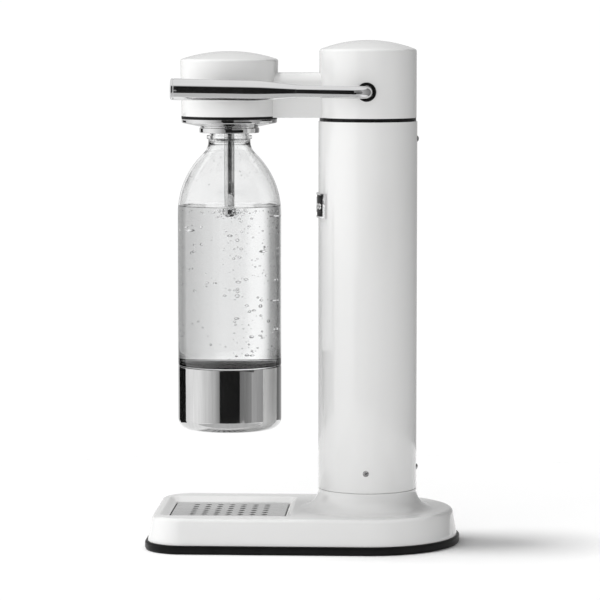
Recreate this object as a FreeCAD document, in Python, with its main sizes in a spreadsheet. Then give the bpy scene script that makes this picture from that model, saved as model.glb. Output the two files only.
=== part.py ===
import FreeCAD, Part
import math
import os
import re
import Sketcher
from FreeCAD import Placement, Rotation, Vector

# Countertop soda carbonator: a white column on a long base, with an arm that
# carries the carbonation nozzle over a clear bottle, and a lever on the right.
# Frame: +Z up, the bottle side faces -Y, the lever is on +X.  The origin is at
# the middle of the footprint on the standing surface.  Every piece is drawn
# relative to its own axis: either the column axis or the bottle axis.

doc = FreeCAD.newDocument("soda_carbonator")

# ------------------------------------------------------------------ dimensions
SIZES = [
    # placement of the two vertical axes
    ("col_y", 52.0), ("noz_y", 113.85),
    # base
    ("base_r", 74.3), ("base_front", 178.0), ("base_corner", 30.0), ("base_low", 7.0),
    ("base_top", 28.5),
    ("base_draft", 10.0), ("base_round", 4.0), ("flare_r", 16.0), ("socket_bore", 36.0),
    ("foot_r", 76.3), ("foot_front", 180.3), ("foot_corner", 32.0), ("foot_width", 9.0), ("foot_round", 2.2),
    ("plate_low", 4.0), ("plate_top", 6.0), ("bay_r", 32.0),
    # drip tray
    ("grille_top", 24.6), ("grille_thick", 1.6), ("grille_x", 43.0), ("grille_y0", 161.0), ("grille_y1", 67.0),
    ("hole_r", 2.5), ("pitch_x", 9.9), ("pitch_y", 9.9), ("pan_low", 10.0), ("pan_wall", 1.4),
    # column
    ("tube_r", 40.56), ("tube_wall", 1.5), ("seam_z", 45.4), ("tube_top", 347.8),
    ("gap_r", 39.6), ("head_z", 350.7), ("head_r", 39.9), ("head_edge", 406.3), ("head_apex", 414.0),
    ("head_wall", 2.5), ("head_round", 2.4), ("sock_r", 39.0), ("sock_in", 36.6),
    ("side_screw_z", 61.8), ("back_low_z", 62.6), ("back_high_z", 333.5),
    ("screw_r", 1.5), ("screw_head_r", 2.5), ("screw_proud", 1.3),
    # arm
    ("arm_half", 14.5), ("arm_low", 350.7), ("arm_high", 387.5), ("arm_round", 8.5), ("arm_wall", 2.2),
    # nozzle head
    ("noz_low", 351.8), ("noz_low_r", 39.2), ("noz_edge", 398.2), ("noz_edge_r", 40.2), ("noz_apex", 404.9),
    ("gasket_low", 349.5), ("gasket_r", 39.35),
    ("bell_r", 39.2), ("bell_low", 346.5), ("bell_in", 26.0), ("bell_neck", 343.5), ("bell_bore", 19.0),
    ("collar_r", 24.6), ("collar_bore", 18.9), ("collar_low", 338.0),
    ("core_r", 14.0), ("core_top", 372.0), ("core_flange", 25.0),
    ("dip_r", 4.14), ("dip_in", 3.0), ("dip_low", 275.2), ("dip_top", 357.0), ("tip_low", 269.6),
    ("relief_r", 7.0), ("relief_top", 390.0),
    # lever
    ("lever_z", 372.3), ("lever_x", 54.0), ("rod_r", 5.05), ("bend_r", 10.0), ("lever_rise", 0.93),
    ("grip_front", 154.9), ("grip_end", 157.2), ("grip_r", 8.7), ("grip_rear_r", 8.3),
    ("taper_front", 87.0), ("taper_rear", 56.0), ("bush_r", 7.8), ("bush_in", 5.1),
    ("cam_base", 6.2), ("cam_gain", 4.0926), ("cam_half", 5.0),
    # valve train and gas cylinder
    ("block_r", 18.0), ("block_low", 326.5), ("block_neck", 11.9), ("block_top", 360.0),
    ("thread_bore", 10.5), ("thread_top", 343.0), ("push_bore", 3.05), ("push_r", 3.0),
    ("push_low", 343.2), ("push_head_low", 363.5), ("push_top", 366.0), ("push_head_r", 7.0),
    ("spring_seat", 352.0), ("spring_bore", 6.2),
    ("cyl_r", 30.0), ("cyl_low", 10.0), ("cyl_shoulder", 280.0), ("cyl_neck_r", 13.0), ("cyl_neck", 310.0),
    ("cyl_top", 316.0), ("cyl_wall", 2.5), ("valve_top", 341.0), ("pin_r", 1.6), ("pin_bore", 1.65),
    ("pin_low", 327.0), ("pin_top", 342.9),
    ("guide_bore", 30.4), ("guide_low", 50.0), ("guide_high", 58.0),
    ("gas_r", 2.5), ("gas_low", 347.0), ("gas_high", 364.0), ("gas_x", 27.0), ("gas_bend", 7.0),
    # badge
    ("badge_low", 268.9), ("badge_high", 289.2), ("badge_angle", 71.0), ("badge_proud", 1.7), ("badge_rim", 1.4),
    # bottle
    ("bot_r", 42.55), ("bot_wall", 2.0), ("bot_top", 342.7), ("neck_r", 16.2), ("neck_in", 13.5),
    ("lip_r", 18.6), ("lip_low", 333.0), ("lip_high", 336.0), ("throat_r", 17.3), ("throat_z", 330.7),
    ("throat_arc", 13.0), ("shoulder_arc", 68.0), ("shoulder_z", 272.0), ("turn_r", 21.1), ("turn_z", 321.5),
    ("inner_turn_r", 19.7), ("inner_turn_z", 320.1), ("cup_r", 42.6), ("cup_wall", 0.9), ("cup_low", 93.8),
    ("cup_rim", 146.0), ("cup_round", 9.0), ("seat_r", 40.0), ("liner_in", 40.05),
]
D = {}
sheet = doc.addObject("Spreadsheet::Sheet", "Sizes")
for row, (alias, value) in enumerate(SIZES, start=1):
    sheet.set("A%d" % row, alias)
    sheet.set("B%d" % row, str(value))
    sheet.setAlias("B%d" % row, alias)
    D[alias] = float(value)
doc.recompute()

TERM = re.compile(r"([+-]?)\s*([A-Za-z_][A-Za-z0-9_]*|[0-9.]+)\s*(?:([*/])\s*([0-9.]+))?")


def num(e):
    """Value of a size: a number, or sums of sheet names and numbers."""
    if isinstance(e, (int, float)):
        return float(e)
    total = 0.0
    for sign, name, op, factor in TERM.findall(e):
        v = D[name] if name in D else float(name)
        if op == "*":
            v *= float(factor)
        elif op == "/":
            v /= float(factor)
        total += -v if sign == "-" else v
    return total


def cell(e):
    return re.sub(r"[A-Za-z_][A-Za-z0-9_]*", lambda m: "Sizes." + m.group(0), e)


def bind(obj, prop, e, numeric=None):
    if isinstance(e, str):
        obj.setExpression(prop, cell(e))


PIECES = []


def body(label, axis="column", rot=None):
    b = doc.addObject("PartDesign::Body", label)
    b.Label = label
    y = "col_y" if axis == "column" else "col_y-noz_y"
    b.Placement = Placement(Vector(0, num(y), 0), rot or Rotation())
    b.setExpression("Placement.Base.y", cell(y))
    PIECES.append(b)
    return b


def sketch(b, plane="XZ", lift=0.0, turn=0.0):
    sk = b.newObject("Sketcher::SketchObject", b.Label + "_sketch")
    pl = [o for o in b.Origin.OriginFeatures if o.Role == plane + "_Plane"][0]
    sk.AttachmentSupport = [(pl, "")]
    sk.MapMode = "FlatFace"
    sk.AttachmentOffset = Placement(Vector(0, 0, num(lift)), Rotation(Vector(0, 0, 1), turn))
    if isinstance(lift, str):
        sk.setExpression("AttachmentOffset.Base.z", cell(lift))
    return sk


def fix(sk, geo, pos, x, y):
    """Tie one point of a sketch to the sheet."""
    for kind, e, axis in (("DistanceX", x, -2), ("DistanceY", y, -1)):
        v = num(e)
        if abs(v) < 1e-9:
            sk.addConstraint(Sketcher.Constraint("PointOnObject", geo, pos, axis))
            continue
        if v > 0:
            i = sk.addConstraint(Sketcher.Constraint(kind, -1, 1, geo, pos, v))
            if isinstance(e, str):
                sk.setExpression("Constraints[%d]" % i, cell(e))
        else:
            i = sk.addConstraint(Sketcher.Constraint(kind, geo, pos, -1, 1, -v))
            if isinstance(e, str):
                sk.setExpression("Constraints[%d]" % i, "0-(" + cell(e) + ")")


def profile(sk, verts):
    """Closed outline.  A vertex is (x, y) or (x, y, arc) where arc describes
    the edge to the next vertex: ("arc", radius, "L" or "R"), with the centre to
    the left or right of the way, or ("arcV",) / ("arcH",) with its centre on
    the sketch's vertical or horizontal axis."""
    n = len(verts)
    pts = [(num(v[0]), num(v[1])) for v in verts]
    ends = []
    for i in range(n):
        (px, py), (qx, qy) = pts[i], pts[(i + 1) % n]
        arc = verts[i][2] if len(verts[i]) > 2 else None
        if arc is None:
            g = sk.addGeometry(Part.LineSegment(Vector(px, py, 0), Vector(qx, qy, 0)), False)
            ends.append((g, 1, 2, None))
            continue
        if arc[0] == "arc":
            r = num(arc[1])
            d = math.hypot(qx - px, qy - py)
            t = math.sqrt(max(0.0, r * r - d * d / 4.0))
            s = t if arc[2] == "L" else -t
            cx = (px + qx) / 2 - s * (qy - py) / d
            cy = (py + qy) / 2 + s * (qx - px) / d
        elif arc[0] == "arcV":
            cx = 0.0
            cy = ((qx * qx + qy * qy) - (px * px + py * py)) / (2 * (qy - py))
            r = math.hypot(px, py - cy)
        else:
            cy = 0.0
            cx = arc[1] if len(arc) > 1 else 0.0
            r = math.hypot(px - cx, py)
        a = math.atan2(py - cy, px - cx)
        z = math.atan2(qy - cy, qx - cx)
        ccw = (px - cx) * (qy - cy) - (py - cy) * (qx - cx) > -1e-9
        circle = Part.Circle(Vector(cx, cy, 0), Vector(0, 0, 1), r)
        if ccw:
            if z <= a:
                z += 2 * math.pi
            g = sk.addGeometry(Part.ArcOfCircle(circle, a, z), False)
            ends.append((g, 1, 2, arc))
        else:
            if a <= z:
                a += 2 * math.pi
            g = sk.addGeometry(Part.ArcOfCircle(circle, z, a), False)
            ends.append((g, 2, 1, arc))
    for i in range(n):
        g, first, last, arc = ends[i]
        ng, nfirst = ends[(i + 1) % n][0], ends[(i + 1) % n][1]
        sk.addConstraint(Sketcher.Constraint("Coincident", g, last, ng, nfirst))
    for i in range(n):
        g, first, last, arc = ends[i]
        fix(sk, g, first, verts[i][0], verts[i][1])
        if arc is None:
            continue
        if arc[0] == "arc":
            k = sk.addConstraint(Sketcher.Constraint("Radius", g, num(arc[1])))
            if isinstance(arc[1], str):
                sk.setExpression("Constraints[%d]" % k, cell(arc[1]))
        elif arc[0] == "arcV":
            sk.addConstraint(Sketcher.Constraint("PointOnObject", g, 3, -2))
        else:
            sk.addConstraint(Sketcher.Constraint("PointOnObject", g, 3, -1))


def circle(sk, x, y, r):
    g = sk.addGeometry(Part.Circle(Vector(num(x), num(y), 0), Vector(0, 0, 1), num(r)), False)
    k = sk.addConstraint(Sketcher.Constraint("Radius", g, num(r)))
    if isinstance(r, str):
        sk.setExpression("Constraints[%d]" % k, cell(r))
    fix(sk, g, 3, x, y)
    return g


def check_cut(b, before, name):
    doc.recompute()
    after = b.Shape.Volume
    if not after < before - 1e-3:
        raise RuntimeError("%s: %s removed nothing" % (b.Label, name))


def revolve(b, verts, angle=360.0, mid=False):
    sk = sketch(b, "XZ")
    profile(sk, verts)
    f = b.newObject("PartDesign::Revolution", b.Label + "_revolve")
    f.Profile = sk
    f.ReferenceAxis = (sk, ["V_Axis"])
    f.Angle = num(angle)
    bind(f, "Angle", angle)
    f.Midplane = mid
    doc.recompute()
    return f


def groove(b, verts, shift_y=0.0):
    before = b.Shape.Volume
    sk = sketch(b, "XZ", shift_y)
    profile(sk, verts)
    f = b.newObject("PartDesign::Groove", b.Label + "_groove")
    f.Profile = sk
    f.ReferenceAxis = (sk, ["V_Axis"])
    f.Angle = 360
    check_cut(b, before, f.Name)
    return f


def pad(b, sk, length, back=False, mid=False):
    f = b.newObject("PartDesign::Pad", b.Label + "_pad")
    f.Profile = sk
    f.Length = num(length)
    bind(f, "Length", length)
    f.Reversed = back
    f.Midplane = mid
    doc.recompute()
    return f


def pocket(b, sk, length=None, back=False, mid=False):
    before = b.Shape.Volume
    f = b.newObject("PartDesign::Pocket", b.Label + "_pocket")
    f.Profile = sk
    if length is None:
        f.Type = "ThroughAll"
    else:
        f.Length = num(length)
        bind(f, "Length", length)
    f.Reversed = back
    f.Midplane = mid
    check_cut(b, before, f.Name)
    return f


def loft(b, first, second, cut=False):
    before = b.Shape.Volume if cut else 0
    kind = "PartDesign::SubtractiveLoft" if cut else "PartDesign::AdditiveLoft"
    f = b.newObject(kind, b.Label + "_loft")
    f.Profile = first
    f.Sections = [second]
    f.Ruled = True
    doc.recompute()
    if cut:
        check_cut(b, before, f.Name)
    return f


def soften(b, radius, test, chamfer=False):
    """Round (or chamfer) the edges that pass the test."""
    tip = b.Tip
    names = ["Edge%d" % (i + 1) for i, e in enumerate(tip.Shape.Edges) if test(e)]
    if not names:
        raise RuntimeError("%s: no edge to soften" % b.Label)
    f = b.newObject("PartDesign::Chamfer" if chamfer else "PartDesign::Fillet", b.Label + "_edge")
    f.Base = (tip, names)
    if chamfer:
        f.Size = num(radius)
        bind(f, "Size", radius)
    else:
        f.Radius = num(radius)
        bind(f, "Radius", radius)
    doc.recompute()
    return f


def ring_at(r, z):
    """Edge test: a full circle about the piece's own vertical axis."""
    def test(e):
        if e.Degenerated:
            return False
        c = e.Curve
        return (isinstance(c, Part.Circle) and abs(c.Radius - num(r)) < 0.02 and abs(c.Center.z - num(z)) < 0.02)
    return test


def plan(sk, r, front, corner):
    """Base outline: half round behind, straight sides, two front corners."""
    profile(sk, [
        (r, 0, ("arcH",)), ("0-" + r, 0),
        ("0-" + r, "%s-%s" % (corner, front), ("arc", corner, "L")),
        ("%s-%s" % (corner, r), "0-" + front),
        ("%s-%s" % (r, corner), "0-" + front, ("arc", corner, "L")),
        (r, "%s-%s" % (corner, front)),
    ])


def slab(sk, x, y0, y1, c):
    """Rounded rectangle, symmetric about the middle: y0 is the front edge."""
    profile(sk, [
        (x, "%s-%s" % (c, y0)), (x, "0-%s-%s" % (y1, c), ("arc", c, "L")),
        ("%s-%s" % (x, c), "0-" + y1), ("%s-%s" % (c, x), "0-" + y1, ("arc", c, "L")),
        ("0-" + x, "0-%s-%s" % (y1, c)), ("0-" + x, "%s-%s" % (c, y0), ("arc", c, "L")),
        ("%s-%s" % (c, x), "0-" + y0), ("%s-%s" % (x, c), "0-" + y0, ("arc", c, "L")),
    ])


# extra sheet rows used by the outlines below
EXTRA = [
    ("in_r", 71.7), ("in_front", 175.4), ("in_corner", 27.4), ("in_top_r", 68.4), ("in_top_front", 172.1),
    ("in_top_corner", 24.9), ("in_top", 25.7), ("foot_in_r", 67.3), ("foot_in_front", 171.3), ("foot_in_corner", 23.0),
    ("lid_r", 67.1), ("lid_front", 171.1), ("lid_corner", 22.8),
    ("frame_x", 57.5), ("frame_y0", 171.4), ("frame_y1", 55.5), ("frame_c", 10.0), ("frame_low", 18.6),
    ("dish_x", 53.0), ("dish_y0", 168.6), ("dish_y1", 59.6), ("dish_c", 9.0), ("dish_low", 24.3),
    ("seat_x", 44.0), ("seat_y0", 162.0), ("seat_y1", 66.0), ("seat_c", 5.0), ("seat_low", 21.8),
    ("well_x", 41.6), ("well_y0", 159.6), ("well_y1", 68.4), ("well_c", 4.0),
    ("rim_x", 43.6), ("rim_y0", 161.6), ("rim_y1", 66.4), ("rim_c", 4.6),
    ("pan_x", 41.0), ("pan_y0", 159.0), ("pan_y1", 69.0), ("pan_c", 3.6),
    ("hold_x", 39.6), ("hold_y0", 157.6), ("hold_y1", 70.4), ("hold_c", 2.6),
    ("gr_c", 4.0), ("boss_r", 4.5), ("boss_x", 60.0), ("boss_front", 150.0), ("boss_back", 30.0),
    ("tap_r", 1.55), ("frame_scr", 15.0), ("noz_scr", 21.5), ("small_r", 1.2), ("small_tap", 1.25),
]
base = len(SIZES)
for k, (alias, value) in enumerate(EXTRA, start=base + 1):
    sheet.set("A%d" % k, alias)
    sheet.set("B%d" % k, str(value))
    sheet.setAlias("B%d" % k, alias)
    D[alias] = float(value)
doc.recompute()

# ------------------------------------------------------------------------ base
# Enamelled shell of the base, with the flared boss that meets the column and
# the dished opening for the drip tray.
b = body("base_shell")
sk = sketch(b, "XY", "base_low")
plan(sk, "base_r", "base_front", "base_corner")
block = pad(b, sk, "base_top-base_low")
full = b.Shape.Volume
sides = ["Face%d" % (i + 1) for i, fc in enumerate(block.Shape.Faces) if fc.BoundBox.ZLength > 1]
floor = ["Face%d" % (i + 1) for i, fc in enumerate(block.Shape.Faces) if fc.BoundBox.ZMax < D["base_low"] + 1e-3]
slope = b.newObject("PartDesign::Draft", "base_shell_draft")
slope.Base = (block, sides)
slope.NeutralPlane = (block, floor)
slope.Angle = D["base_draft"]
slope.setExpression("Angle", cell("base_draft"))
doc.recompute()
if b.Shape.Volume > full:
    slope.Reversed = True
    doc.recompute()
check_cut(b, full, "base_shell_draft")
soften(b, "base_round", lambda e: abs(e.BoundBox.ZMin - D["base_top"]) < 1e-3 and abs(e.BoundBox.ZMax - D["base_top"]) < 1e-3)
revolve(b, [
    (30, "base_top-3"), ("tube_r+flare_r-0.06", "base_top-3"), ("tube_r+flare_r-0.06", "base_top", ("arc", "flare_r", "R")),
    ("tube_r-0.06", "base_top+flare_r"), ("tube_r-0.06", "seam_z"), (30, "seam_z"),
])
s1 = sketch(b, "XY", "base_low-0.01")
plan(s1, "in_r", "in_front", "in_corner")
s2 = sketch(b, "XY", "in_top")
plan(s2, "in_top_r", "in_top_front", "in_top_corner")
loft(b, s1, s2, cut=True)
sk = sketch(b, "XY", "frame_low")
slab(sk, "frame_x", "frame_y0", "frame_y1", "frame_c")
pad(b, sk, "in_top-frame_low+0.5")
s1 = sketch(b, "XY", "base_top+0.01")
slab(s1, "dish_x", "dish_y0", "dish_y1", "dish_c")
s2 = sketch(b, "XY", "dish_low")
slab(s2, "seat_x", "seat_y0", "seat_y1", "seat_c")
loft(b, s1, s2, cut=True)
sk = sketch(b, "XY", "dish_low+0.01")
slab(sk, "seat_x", "seat_y0", "seat_y1", "seat_c")
pocket(b, sk, "dish_low-seat_low")
sk = sketch(b, "XY", "seat_low+0.01")
slab(sk, "well_x", "well_y0", "well_y1", "well_c")
pocket(b, sk, "seat_low-frame_low+0.1")
# bore for the gas cylinder and counterbore for the column socket
groove(b, [(0, 18), ("socket_bore", 18), ("socket_bore", 31), ("sock_r+0.03", 31), ("sock_r+0.03", 50), (0, 50)])
# four screw bosses under the top
sk = sketch(b, "XY", "plate_top+0.02")
for x, y in (("boss_x", "0-boss_front"), ("0-boss_x", "0-boss_front"), ("boss_x-10", "boss_back"), ("10-boss_x", "boss_back")):
    circle(sk, x, y, "boss_r")
pad(b, sk, "in_top-plate_top+0.5")
sk = sketch(b, "XY", "plate_top")
for x, y in (("boss_x", "0-boss_front"), ("0-boss_x", "0-boss_front"), ("boss_x-10", "boss_back"), ("10-boss_x", "boss_back")):
    circle(sk, x, y, "tap_r")
pocket(b, sk, 12, back=True)

# Black rubber foot band that the shell sits in.
b = body("foot_ring")
sk = sketch(b, "XY")
plan(sk, "foot_r", "foot_front", "foot_corner")
pad(b, sk, "base_low")
soften(b, "foot_round", lambda e: e.BoundBox.ZMax < 1e-3)
sk = sketch(b, "XY")
plan(sk, "foot_in_r", "foot_in_front", "foot_in_corner")
pocket(b, sk, None, mid=True)

# Steel bottom plate, with the hole that the gas cylinder goes in through.
b = body("base_plate")
sk = sketch(b, "XY", "plate_low")
plan(sk, "lid_r", "lid_front", "lid_corner")
pad(b, sk, "plate_top-plate_low")
sk = sketch(b, "XY", "plate_low")
circle(sk, 0, 0, "bay_r")
for x, y in (("boss_x", "0-boss_front"), ("0-boss_x", "0-boss_front"), ("boss_x-10", "boss_back"), ("10-boss_x", "boss_back")):
    circle(sk, x, y, "tap_r")
pocket(b, sk, None, mid=True)

# Four screws that hold the bottom plate.
b = body("base_screws")


def screw_group(b, spots, head_low, head_high, head_r, shank_r, shank_low, shank_high):
    """Identical vertical screws as one group of separate solids."""
    PIECES.remove(b)
    label = b.Label
    y = num("col_y") if spots["axis"] == "column" else num("col_y-noz_y")
    doc.removeObject(b.Name)
    solids = []
    for x, yy in spots["at"]:
        head = Part.makeCylinder(head_r, head_high - head_low, Vector(num(x), num(yy), head_low))
        shank = Part.makeCylinder(shank_r, shank_high - shank_low, Vector(num(x), num(yy), shank_low))
        sc = head.fuse(shank).removeSplitter()
        slot_z = head_low if spots["drive"] == "below" else head_high - 0.8
        hexa = Part.makePolygon([Vector(num(x) + 0.5 * head_r * math.cos(math.radians(60 * k)),
                                        num(yy) + 0.5 * head_r * math.sin(math.radians(60 * k)), slot_z) for k in range(7)])
        key = Part.Face(hexa).extrude(Vector(0, 0, 0.8))
        sc = sc.cut(key)
        solids.append(sc.Solids[0])
    o = doc.addObject("Part::Feature", label)
    o.Label = label
    o.Shape = Part.makeCompound(solids)
    o.Placement = Placement(Vector(0, y, 0), Rotation())
    PIECES.append(o)
    return o


four = (("boss_x", "0-boss_front"), ("0-boss_x", "0-boss_front"), ("boss_x-10", "boss_back"), ("10-boss_x", "boss_back"))
screw_group(b, {"axis": "column", "at": four, "drive": "below"},
            num("plate_low") - 1.6, num("plate_low"), 2.9, num("screw_r"), num("plate_low") - 0.3, 16.0)

# Drip pan: a shallow tub whose rim rests on the ledge inside the shell.
b = body("drip_pan")
sk = sketch(b, "XY", "pan_low")
slab(sk, "pan_x", "pan_y0", "pan_y1", "pan_c")
pad(b, sk, "grille_top-grille_thick-pan_low")
sk = sketch(b, "XY", "grille_top-grille_thick-1.0")
slab(sk, "rim_x", "rim_y0", "rim_y1", "rim_c")
pad(b, sk, 1.0)
sk = sketch(b, "XY", "grille_top-grille_thick")
slab(sk, "hold_x", "hold_y0", "hold_y1", "hold_c")
pocket(b, sk, "grille_top-grille_thick-pan_low-pan_wall")

# Pressed drip grille with seven rows of seven round holes.
b = body("drip_grille")
sk = sketch(b, "XY", "grille_top-grille_thick")
slab(sk, "grille_x", "grille_y0", "grille_y1", "gr_c")
pad(b, sk, "grille_thick")
sk = sketch(b, "XY", "grille_top")
circle(sk, "0-pitch_x*3", "0-noz_y-pitch_y*3", "hole_r")
p = pocket(b, sk, "grille_thick+1")
lp = b.newObject("PartDesign::LinearPattern", "drip_holes")
lp.Originals = [p]
lp.Direction = (sk, ["H_Axis"])
lp.Mode = "Extent"
lp.Length = num("pitch_x*6")
lp.setExpression("Length", cell("pitch_x*6"))
lp.Occurrences = 7
lp.Direction2 = (sk, ["V_Axis"])
lp.Mode2 = "Extent"
lp.Length2 = num("pitch_y*6")
lp.setExpression("Length2", cell("pitch_y*6"))
lp.Occurrences2 = 7
b.Tip = lp
doc.recompute()
soften(b, 0.5, lambda e: abs(e.BoundBox.ZMin - D["grille_top"]) < 1e-3 and not (isinstance(e.Curve, Part.Circle) and abs(e.Curve.Radius - D["hole_r"]) < 0.01))

# ---------------------------------------------------------------------- column
# Aluminium socket in the base that the column tube slides over.
b = body("column_socket")
revolve(b, [("socket_bore", 31.1), ("sock_r", 31.1), ("sock_r", 78), ("socket_bore", 78)])
sk = sketch(b, "YZ")
circle(sk, 0, "side_screw_z", "tap_r")
pocket(b, sk, None, mid=True)
sk = sketch(b, "XZ")
circle(sk, 0, "back_low_z", "tap_r")
pocket(b, sk, 60)

# Guide ring that centres the gas cylinder in the socket.
b = body("cylinder_guide")
revolve(b, [("guide_bore", "guide_low"), ("socket_bore-0.05", "guide_low"), ("socket_bore-0.05", "guide_high"), ("guide_bore+1.2", "guide_high"), ("guide_bore", "guide_high-1.5")])

# Enamelled steel column tube.
b = body("column_tube")
revolve(b, [("tube_r-tube_wall", "seam_z"), ("tube_r", "seam_z"), ("tube_r", "tube_top"), ("tube_r-tube_wall", "tube_top")])
sk = sketch(b, "YZ")
circle(sk, 0, "side_screw_z", "tap_r")
pocket(b, sk, None, mid=True)
sk = sketch(b, "XZ")
circle(sk, 0, "back_low_z", "tap_r")
circle(sk, 0, "back_high_z", "tap_r")
pocket(b, sk, 60)

# Upper socket ring that joins the tube to the head.
b = body("head_socket")
revolve(b, [("sock_in", 322), ("sock_r", 322), ("sock_r", "head_z"), ("sock_in", "head_z")])
sk = sketch(b, "XZ")
circle(sk, 0, "back_high_z", "tap_r")
pocket(b, sk, 60)

# Black shadow-gap ring between the tube and the head.
b = body("gap_ring")
revolve(b, [("sock_r+0.05", "tube_top"), ("gap_r", "tube_top"), ("gap_r", "head_z"), ("sock_r+0.05", "head_z")])


def dome_screw(label, rows):
    """Pan-head screws lying across the column: rows of (direction, height)."""
    solids = []
    reach = num("sock_r") - 2.2
    skin = num("tube_r")
    for ang, z in rows:
        r, p = num("screw_head_r"), num("screw_proud")
        big = (r * r + p * p) / (2 * p)
        ball = Part.makeSphere(big, Vector(skin + p - big, 0, 0))
        keep = Part.makeBox(p + 0.6, 2 * r + 2, 2 * r + 2, Vector(skin + 0.01, -r - 1, -r - 1))
        head = ball.common(keep).common(Part.makeCylinder(r, 10, Vector(skin - 3, 0, 0), Vector(1, 0, 0)))
        shank = Part.makeCylinder(num("screw_r"), skin - reach, Vector(reach, 0, 0), Vector(1, 0, 0))
        sc = head.fuse(shank).removeSplitter()
        pts = [Vector(skin + p - 0.7, 0.9 * math.cos(math.radians(60 * k)), 0.9 * math.sin(math.radians(60 * k))) for k in range(7)]
        sc = sc.cut(Part.Face(Part.makePolygon(pts)).extrude(Vector(2, 0, 0)))
        sc = sc.Solids[0]
        sc.rotate(Vector(0, 0, 0), Vector(0, 0, 1), ang)
        sc.translate(Vector(0, 0, z))
        solids.append(sc)
    o = doc.addObject("Part::Feature", label)
    o.Label = label
    o.Shape = Part.makeCompound(solids)
    o.Placement = Placement(Vector(0, num("col_y"), 0), Rotation())
    PIECES.append(o)


dome_screw("side_screws", [(0, num("side_screw_z")), (180, num("side_screw_z"))])
dome_screw("back_screws", [(90, num("back_low_z")), (90, num("back_high_z"))])

# Domed column head.
b = body("column_head")
revolve(b, [
    ("head_r-head_wall", "head_z"), ("head_r", "head_z"), ("head_r", "head_edge", ("arcV",)), (0, "head_apex"),
    (0, "head_apex-head_wall", ("arcV",)), ("head_r-head_wall", "head_edge-head_wall"),
])
soften(b, "head_round", ring_at("head_r", "head_edge"))
sk = sketch(b, "YZ")
circle(sk, 0, "lever_z", "bush_r+0.02")
pocket(b, sk, 60, back=True)
sk = sketch(b, "XZ")
circle(sk, 0, "gas_high+1", 9)
pocket(b, sk, 60, back=True)

# Nozzle head, slightly tapered, with the same domed top.
b = body("nozzle_head", "nozzle")
revolve(b, [
    ("noz_low_r-head_wall", "noz_low"), ("noz_low_r", "noz_low"), ("noz_edge_r", "noz_edge", ("arcV",)), (0, "noz_apex"),
    (0, "noz_apex-head_wall", ("arcV",)), ("noz_edge_r-head_wall", "noz_edge-head_wall"),
])
soften(b, "head_round", ring_at("noz_edge_r", "noz_edge"))
sk = sketch(b, "XZ")
circle(sk, 0, "gas_high+1", 9)
pocket(b, sk, 60)

# Arm between the heads: a box section with rounded upper edges, cut to the two
# round heads at its ends.
b = body("arm_shell")
sk = sketch(b, "XZ", 30)
profile(sk, [
    ("arm_half", "arm_low"), ("arm_half", "arm_high-arm_round", ("arc", "arm_round", "L")),
    ("arm_half-arm_round", "arm_high"), ("arm_round-arm_half", "arm_high", ("arc", "arm_round", "L")),
    ("0-arm_half", "arm_high-arm_round"), ("0-arm_half", "arm_low"),
])
pad(b, sk, 55)
sk = sketch(b, "XZ", 20)
profile(sk, [
    ("arm_half-arm_wall", "arm_low+arm_wall"), ("arm_half-arm_wall", "arm_high-arm_round", ("arc", "arm_round-arm_wall", "L")),
    ("arm_half-arm_round", "arm_high-arm_wall"), ("arm_round-arm_half", "arm_high-arm_wall", ("arc", "arm_round-arm_wall", "L")),
    ("arm_wall-arm_half", "arm_high-arm_round"), ("arm_wall-arm_half", "arm_low+arm_wall"),
])
pocket(b, sk, 80, back=True)
groove(b, [(0, 340), ("head_r+0.02", 340), ("head_r+0.02", 395), (0, 395)])
groove(b, [(0, 340), ("gasket_r+0.05", 340), ("gasket_r+0.05", "noz_low"), ("noz_low_r+0.02", "noz_low"), ("noz_edge_r+0.02", "noz_edge"), (0, "noz_edge")], "noz_y")

# -------------------------------------------------------------- nozzle station
b = body("head_gasket", "nozzle")
revolve(b, [(30, "gasket_low"), ("gasket_r-0.5", "gasket_low"), ("gasket_r", "gasket_low+0.6"), ("gasket_r", "noz_low"), (30, "noz_low")])

# Chrome bell under the head.
b = body("nozzle_bell", "nozzle")
revolve(b, [
    ("bell_r", "gasket_low"), ("bell_r-1.4", "gasket_low"), ("bell_r-1.4", "bell_low+1.4"), (25.6, "bell_neck+1.5"),
    ("bell_bore", "bell_neck+1.5"), ("bell_bore", "bell_neck"), ("bell_in", "bell_neck"), ("bell_r-0.3", "bell_low-0.2"), ("bell_r", "bell_low+0.4"),
])
sk = sketch(b, "XY", "bell_neck+1.5")
circle(sk, "noz_scr", 0, "small_tap")
p = pocket(b, sk, 3)
pp = b.newObject("PartDesign::PolarPattern", "bell_holes")
pp.Originals = [p]
pp.Axis = (sk, ["N_Axis"])
pp.Angle = 360
pp.Occurrences = 3
b.Tip = pp
doc.recompute()

# Collar that the bottle's neck locks into.
b = body("nozzle_collar", "nozzle")
revolve(b, [
    ("collar_bore", "collar_low"), ("collar_r-0.8", "collar_low"), ("collar_r", "collar_low+0.8"), ("collar_r", "bell_neck-1.6"),
    ("collar_r-0.9", "bell_neck-0.9"), ("collar_r-0.9", "bell_neck"), ("collar_bore", "bell_neck"),
])
sk = sketch(b, "XY", "bell_neck")
circle(sk, "noz_scr", 0, "small_tap")
p = pocket(b, sk, 4.2)
pp = b.newObject("PartDesign::PolarPattern", "collar_holes")
pp.Originals = [p]
pp.Axis = (sk, ["N_Axis"])
pp.Angle = 360
pp.Occurrences = 3
b.Tip = pp
doc.recompute()

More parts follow.
